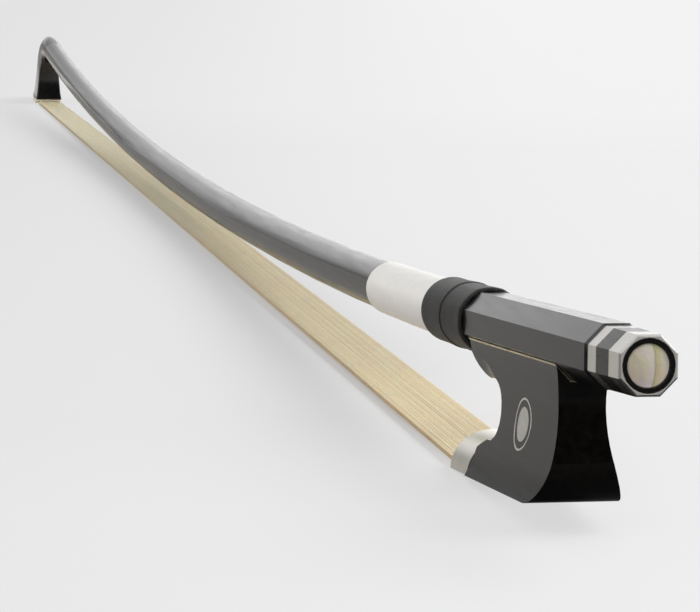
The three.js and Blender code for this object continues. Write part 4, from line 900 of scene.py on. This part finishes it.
# Hair: about two hundred unbleached horse hairs, bound in a knot at each end. They leave the frog through
# the ferrule as a flat ribbon, narrow towards the head, and hang slack, so they lie all but straight.
def make_hair_tree():
    """Hairs in flat layers along a path that carries half its ribbon's width at each point."""
    SCATTER, DRIFT_SCALE, DRIFT_STEP, ROOM, TONE_SEED = 0.35, 9, 0.61, 2.4, 7
    tree, given = new_tree("hair_ribbon", {
        "Path": "Geometry", "Hairs In A Layer": "Int", "Layers": "Int", "Ribbon Thickness": "Float",
        "Hair Radius": "Float", "Hair Sides": "Int", "Unevenness": "Float", "Seed": "Int",
        "Material": "Material"})

    def times(first, second):
        return maths(tree, "MULTIPLY", first, second)

    def less(first, second):
        return maths(tree, "SUBTRACT", first, second)

    def scaled(direction, length):
        return place_node(
            tree, "ShaderNodeVectorMath", {0: direction, "Scale": length}, operation="SCALE").outputs[0]

    path = place_node(tree, "GeometryNodeMeshToCurve", {"Mesh": given["Path"]}).outputs[0]
    hairs = place_node(tree, "GeometryNodeDuplicateElements", {
        "Geometry": path, "Amount": times(given["Hairs In A Layer"], given["Layers"])}, domain="SPLINE")
    number = hairs.outputs["Duplicate Index"]
    layer = maths(tree, "FLOOR", maths(tree, "DIVIDE", number, given["Hairs In A Layer"]), 0.0)
    column = maths(tree, "MODULO", number, given["Hairs In A Layer"])
    chance = place_node(tree, "FunctionNodeRandomValue", {
        "Min": -SCATTER, "Max": SCATTER, "ID": number, "Seed": given["Seed"]},
        data_type="FLOAT").outputs["Value"]
    steps = less(given["Hairs In A Layer"], 1.0)
    share = less(maths(tree, "DIVIDE", times(maths(tree, "ADD", column, chance), 2.0), steps), 1.0)
    spot = place_node(tree, "GeometryNodeInputPosition").outputs[0]
    along = split(tree, spot)["X"]
    drift_place = place_node(tree, "ShaderNodeCombineXYZ", {"X": along, "Y": times(number, DRIFT_STEP)})
    drift = place_node(tree, "ShaderNodeTexNoise", {
        "Vector": drift_place.outputs[0], "Scale": DRIFT_SCALE, "Detail": 1}).outputs["Color"]
    apart = split(tree, drift)
    width = place_node(
        tree, "GeometryNodeInputNamedAttribute", {"Name": "half_width"}, data_type="FLOAT").outputs[0]
    wander = times(less(apart["X"], 0.5), given["Unevenness"])
    clamped = place_node(tree, "ShaderNodeClamp", {
        "Value": maths(tree, "ADD", share, wander), "Min": -1.0, "Max": 1.0}).outputs[0]
    tangent = place_node(tree, "GeometryNodeInputTangent").outputs[0]
    lift_way = vectors(tree, "CROSS_PRODUCT", tangent, (0, 1, 0))
    unlevel = times(less(apart["Y"], 0.5), given["Unevenness"])
    level = less(maths(tree, "DIVIDE", maths(tree, "ADD", layer, unlevel), less(given["Layers"], 1.0)), 0.5)
    rise = times(level, less(given["Ribbon Thickness"], times(given["Hair Radius"], ROOM)))
    offset = vectors(tree, "ADD", scaled((0, 1, 0), times(clamped, width)), scaled(lift_way, rise))
    laid = place_node(tree, "GeometryNodeSetPosition", {"Geometry": hairs.outputs[0], "Offset": offset})
    tone = place_node(tree, "FunctionNodeRandomValue", {
        "ID": number, "Seed": TONE_SEED}, data_type="FLOAT").outputs["Value"]
    toned = place_node(tree, "GeometryNodeStoreNamedAttribute", {
        "Geometry": laid.outputs[0], "Name": "hair_tone", "Value": tone}, data_type="FLOAT", domain="POINT")
    strand = place_node(tree, "GeometryNodeCurvePrimitiveCircle", {
        "Resolution": given["Hair Sides"], "Radius": given["Hair Radius"]})
    drawn = place_node(tree, "GeometryNodeCurveToMesh", {
        "Curve": toned.outputs[0], "Profile Curve": strand.outputs["Curve"], "Fill Caps": True})
    end_tree(tree, drawn.outputs[0], given["Material"])
    return tree


def ribbon_path(name, points):
    """A line of points to grow the ribbon on, each with half the ribbon's width."""
    mesh = bpy.data.meshes.new(name)
    mesh.from_pydata([place for place, _ in points], [(n, n + 1) for n in range(len(points) - 1)], [])
    half_widths = mesh.attributes.new("half_width", "FLOAT", "POINT")
    half_widths.data.foreach_set("value", [half for _, half in points])
    return show(name, mesh)


def head_place(forward, height):
    """A point of the head, from the plate's back end towards the beak."""
    return Vector((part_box("tip_plate")[1][0] - forward, 0, height))


SCALES_SCALE, SCALES_SHARE, FINE_SCALE, FINE_DEPTH = 180, 0.5, 9000, 0.000004
HAIR_STOPS = [(0.2, (0.605, 0.41, 0.24)), (0.5, (0.69, 0.487, 0.298)), (0.8, (0.765, 0.563, 0.36))]
horsehair, tree, shader = new_material(
    "unbleached_horsehair", IOR=1.5, Subsurface_Weight=0.4, Subsurface_Scale=0.0015)
own_tone = place_node(tree, "ShaderNodeAttribute", attribute_name="hair_tone").outputs["Fac"]
place = own_place(tree)
scales = noise(tree, place, SCALES_SCALE, 3)
own_share = maths(tree, "MULTIPLY", own_tone, 1 - SCALES_SHARE)
hair_tone = maths(tree, "MULTIPLY_ADD", scales, SCALES_SHARE, own_share)
feed(tree, shader, {
    "Base Color": place_ramp(tree, hair_tone, HAIR_STOPS),
    "Roughness": graded(tree, scales, 0, 1, low=0.34, high=0.52),
    "Normal": bumps(tree, noise(tree, place, FINE_SCALE), FINE_DEPTH)})

# The hair's way: down the frog's mortise from the knot, round into the channel over the slide, out of the
# ferrule's mouth, straight to the head and up into its mortise.
HALF_IN_FROG, HALF_IN_CHANNEL, HALF_AT_FERRULE = 0.0038, 0.0048, 0.0069
HALF_AT_TIP, HALF_IN_HEAD = 0.0042, 0.0029
LONG_STEPS = 40
frog_run = [(handle_place(distance, height), half) for distance, height, half in (
    (0.0624, -0.0203, HALF_IN_FROG), (0.0624, -0.02255, HALF_IN_FROG), (0.0627, -0.02315, HALF_IN_FROG),
    (0.0633, -0.02345, HALF_IN_FROG), (0.0731, -0.02345, HALF_IN_CHANNEL))]
mouth, tip = handle_place(0.0838, -0.02485), head_place(-0.003, 0.000575)
long_run = [(
    mouth.lerp(tip, step / LONG_STEPS),
    HALF_AT_FERRULE + (HALF_AT_TIP - HALF_AT_FERRULE) * step / LONG_STEPS) for step in range(LONG_STEPS + 1)]
head_run = [(head_place(forward, height), HALF_IN_HEAD) for forward, height in (
    (0.0028, 0.000575), (0.0034, 0.000875), (0.0037, 0.001475), (0.0037, 0.0070))]
whole_run = ribbon_path("ribbon_path", frog_run + long_run + head_run)
hair = grow("horsehair_ribbon", whole_run, make_hair_tree(), {
    "Hairs In A Layer": 86, "Layers": 3, "Ribbon Thickness": 0.0009, "Hair Radius": 0.0001, "Hair Sides": 5,
    "Unevenness": 0.02, "Seed": 3, "Material": horsehair})
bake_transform(hair, "frog", "bow_stick", start=(0.27, 0, 0), end=(-0.33, 0, 0))
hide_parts("hair_ribbon")
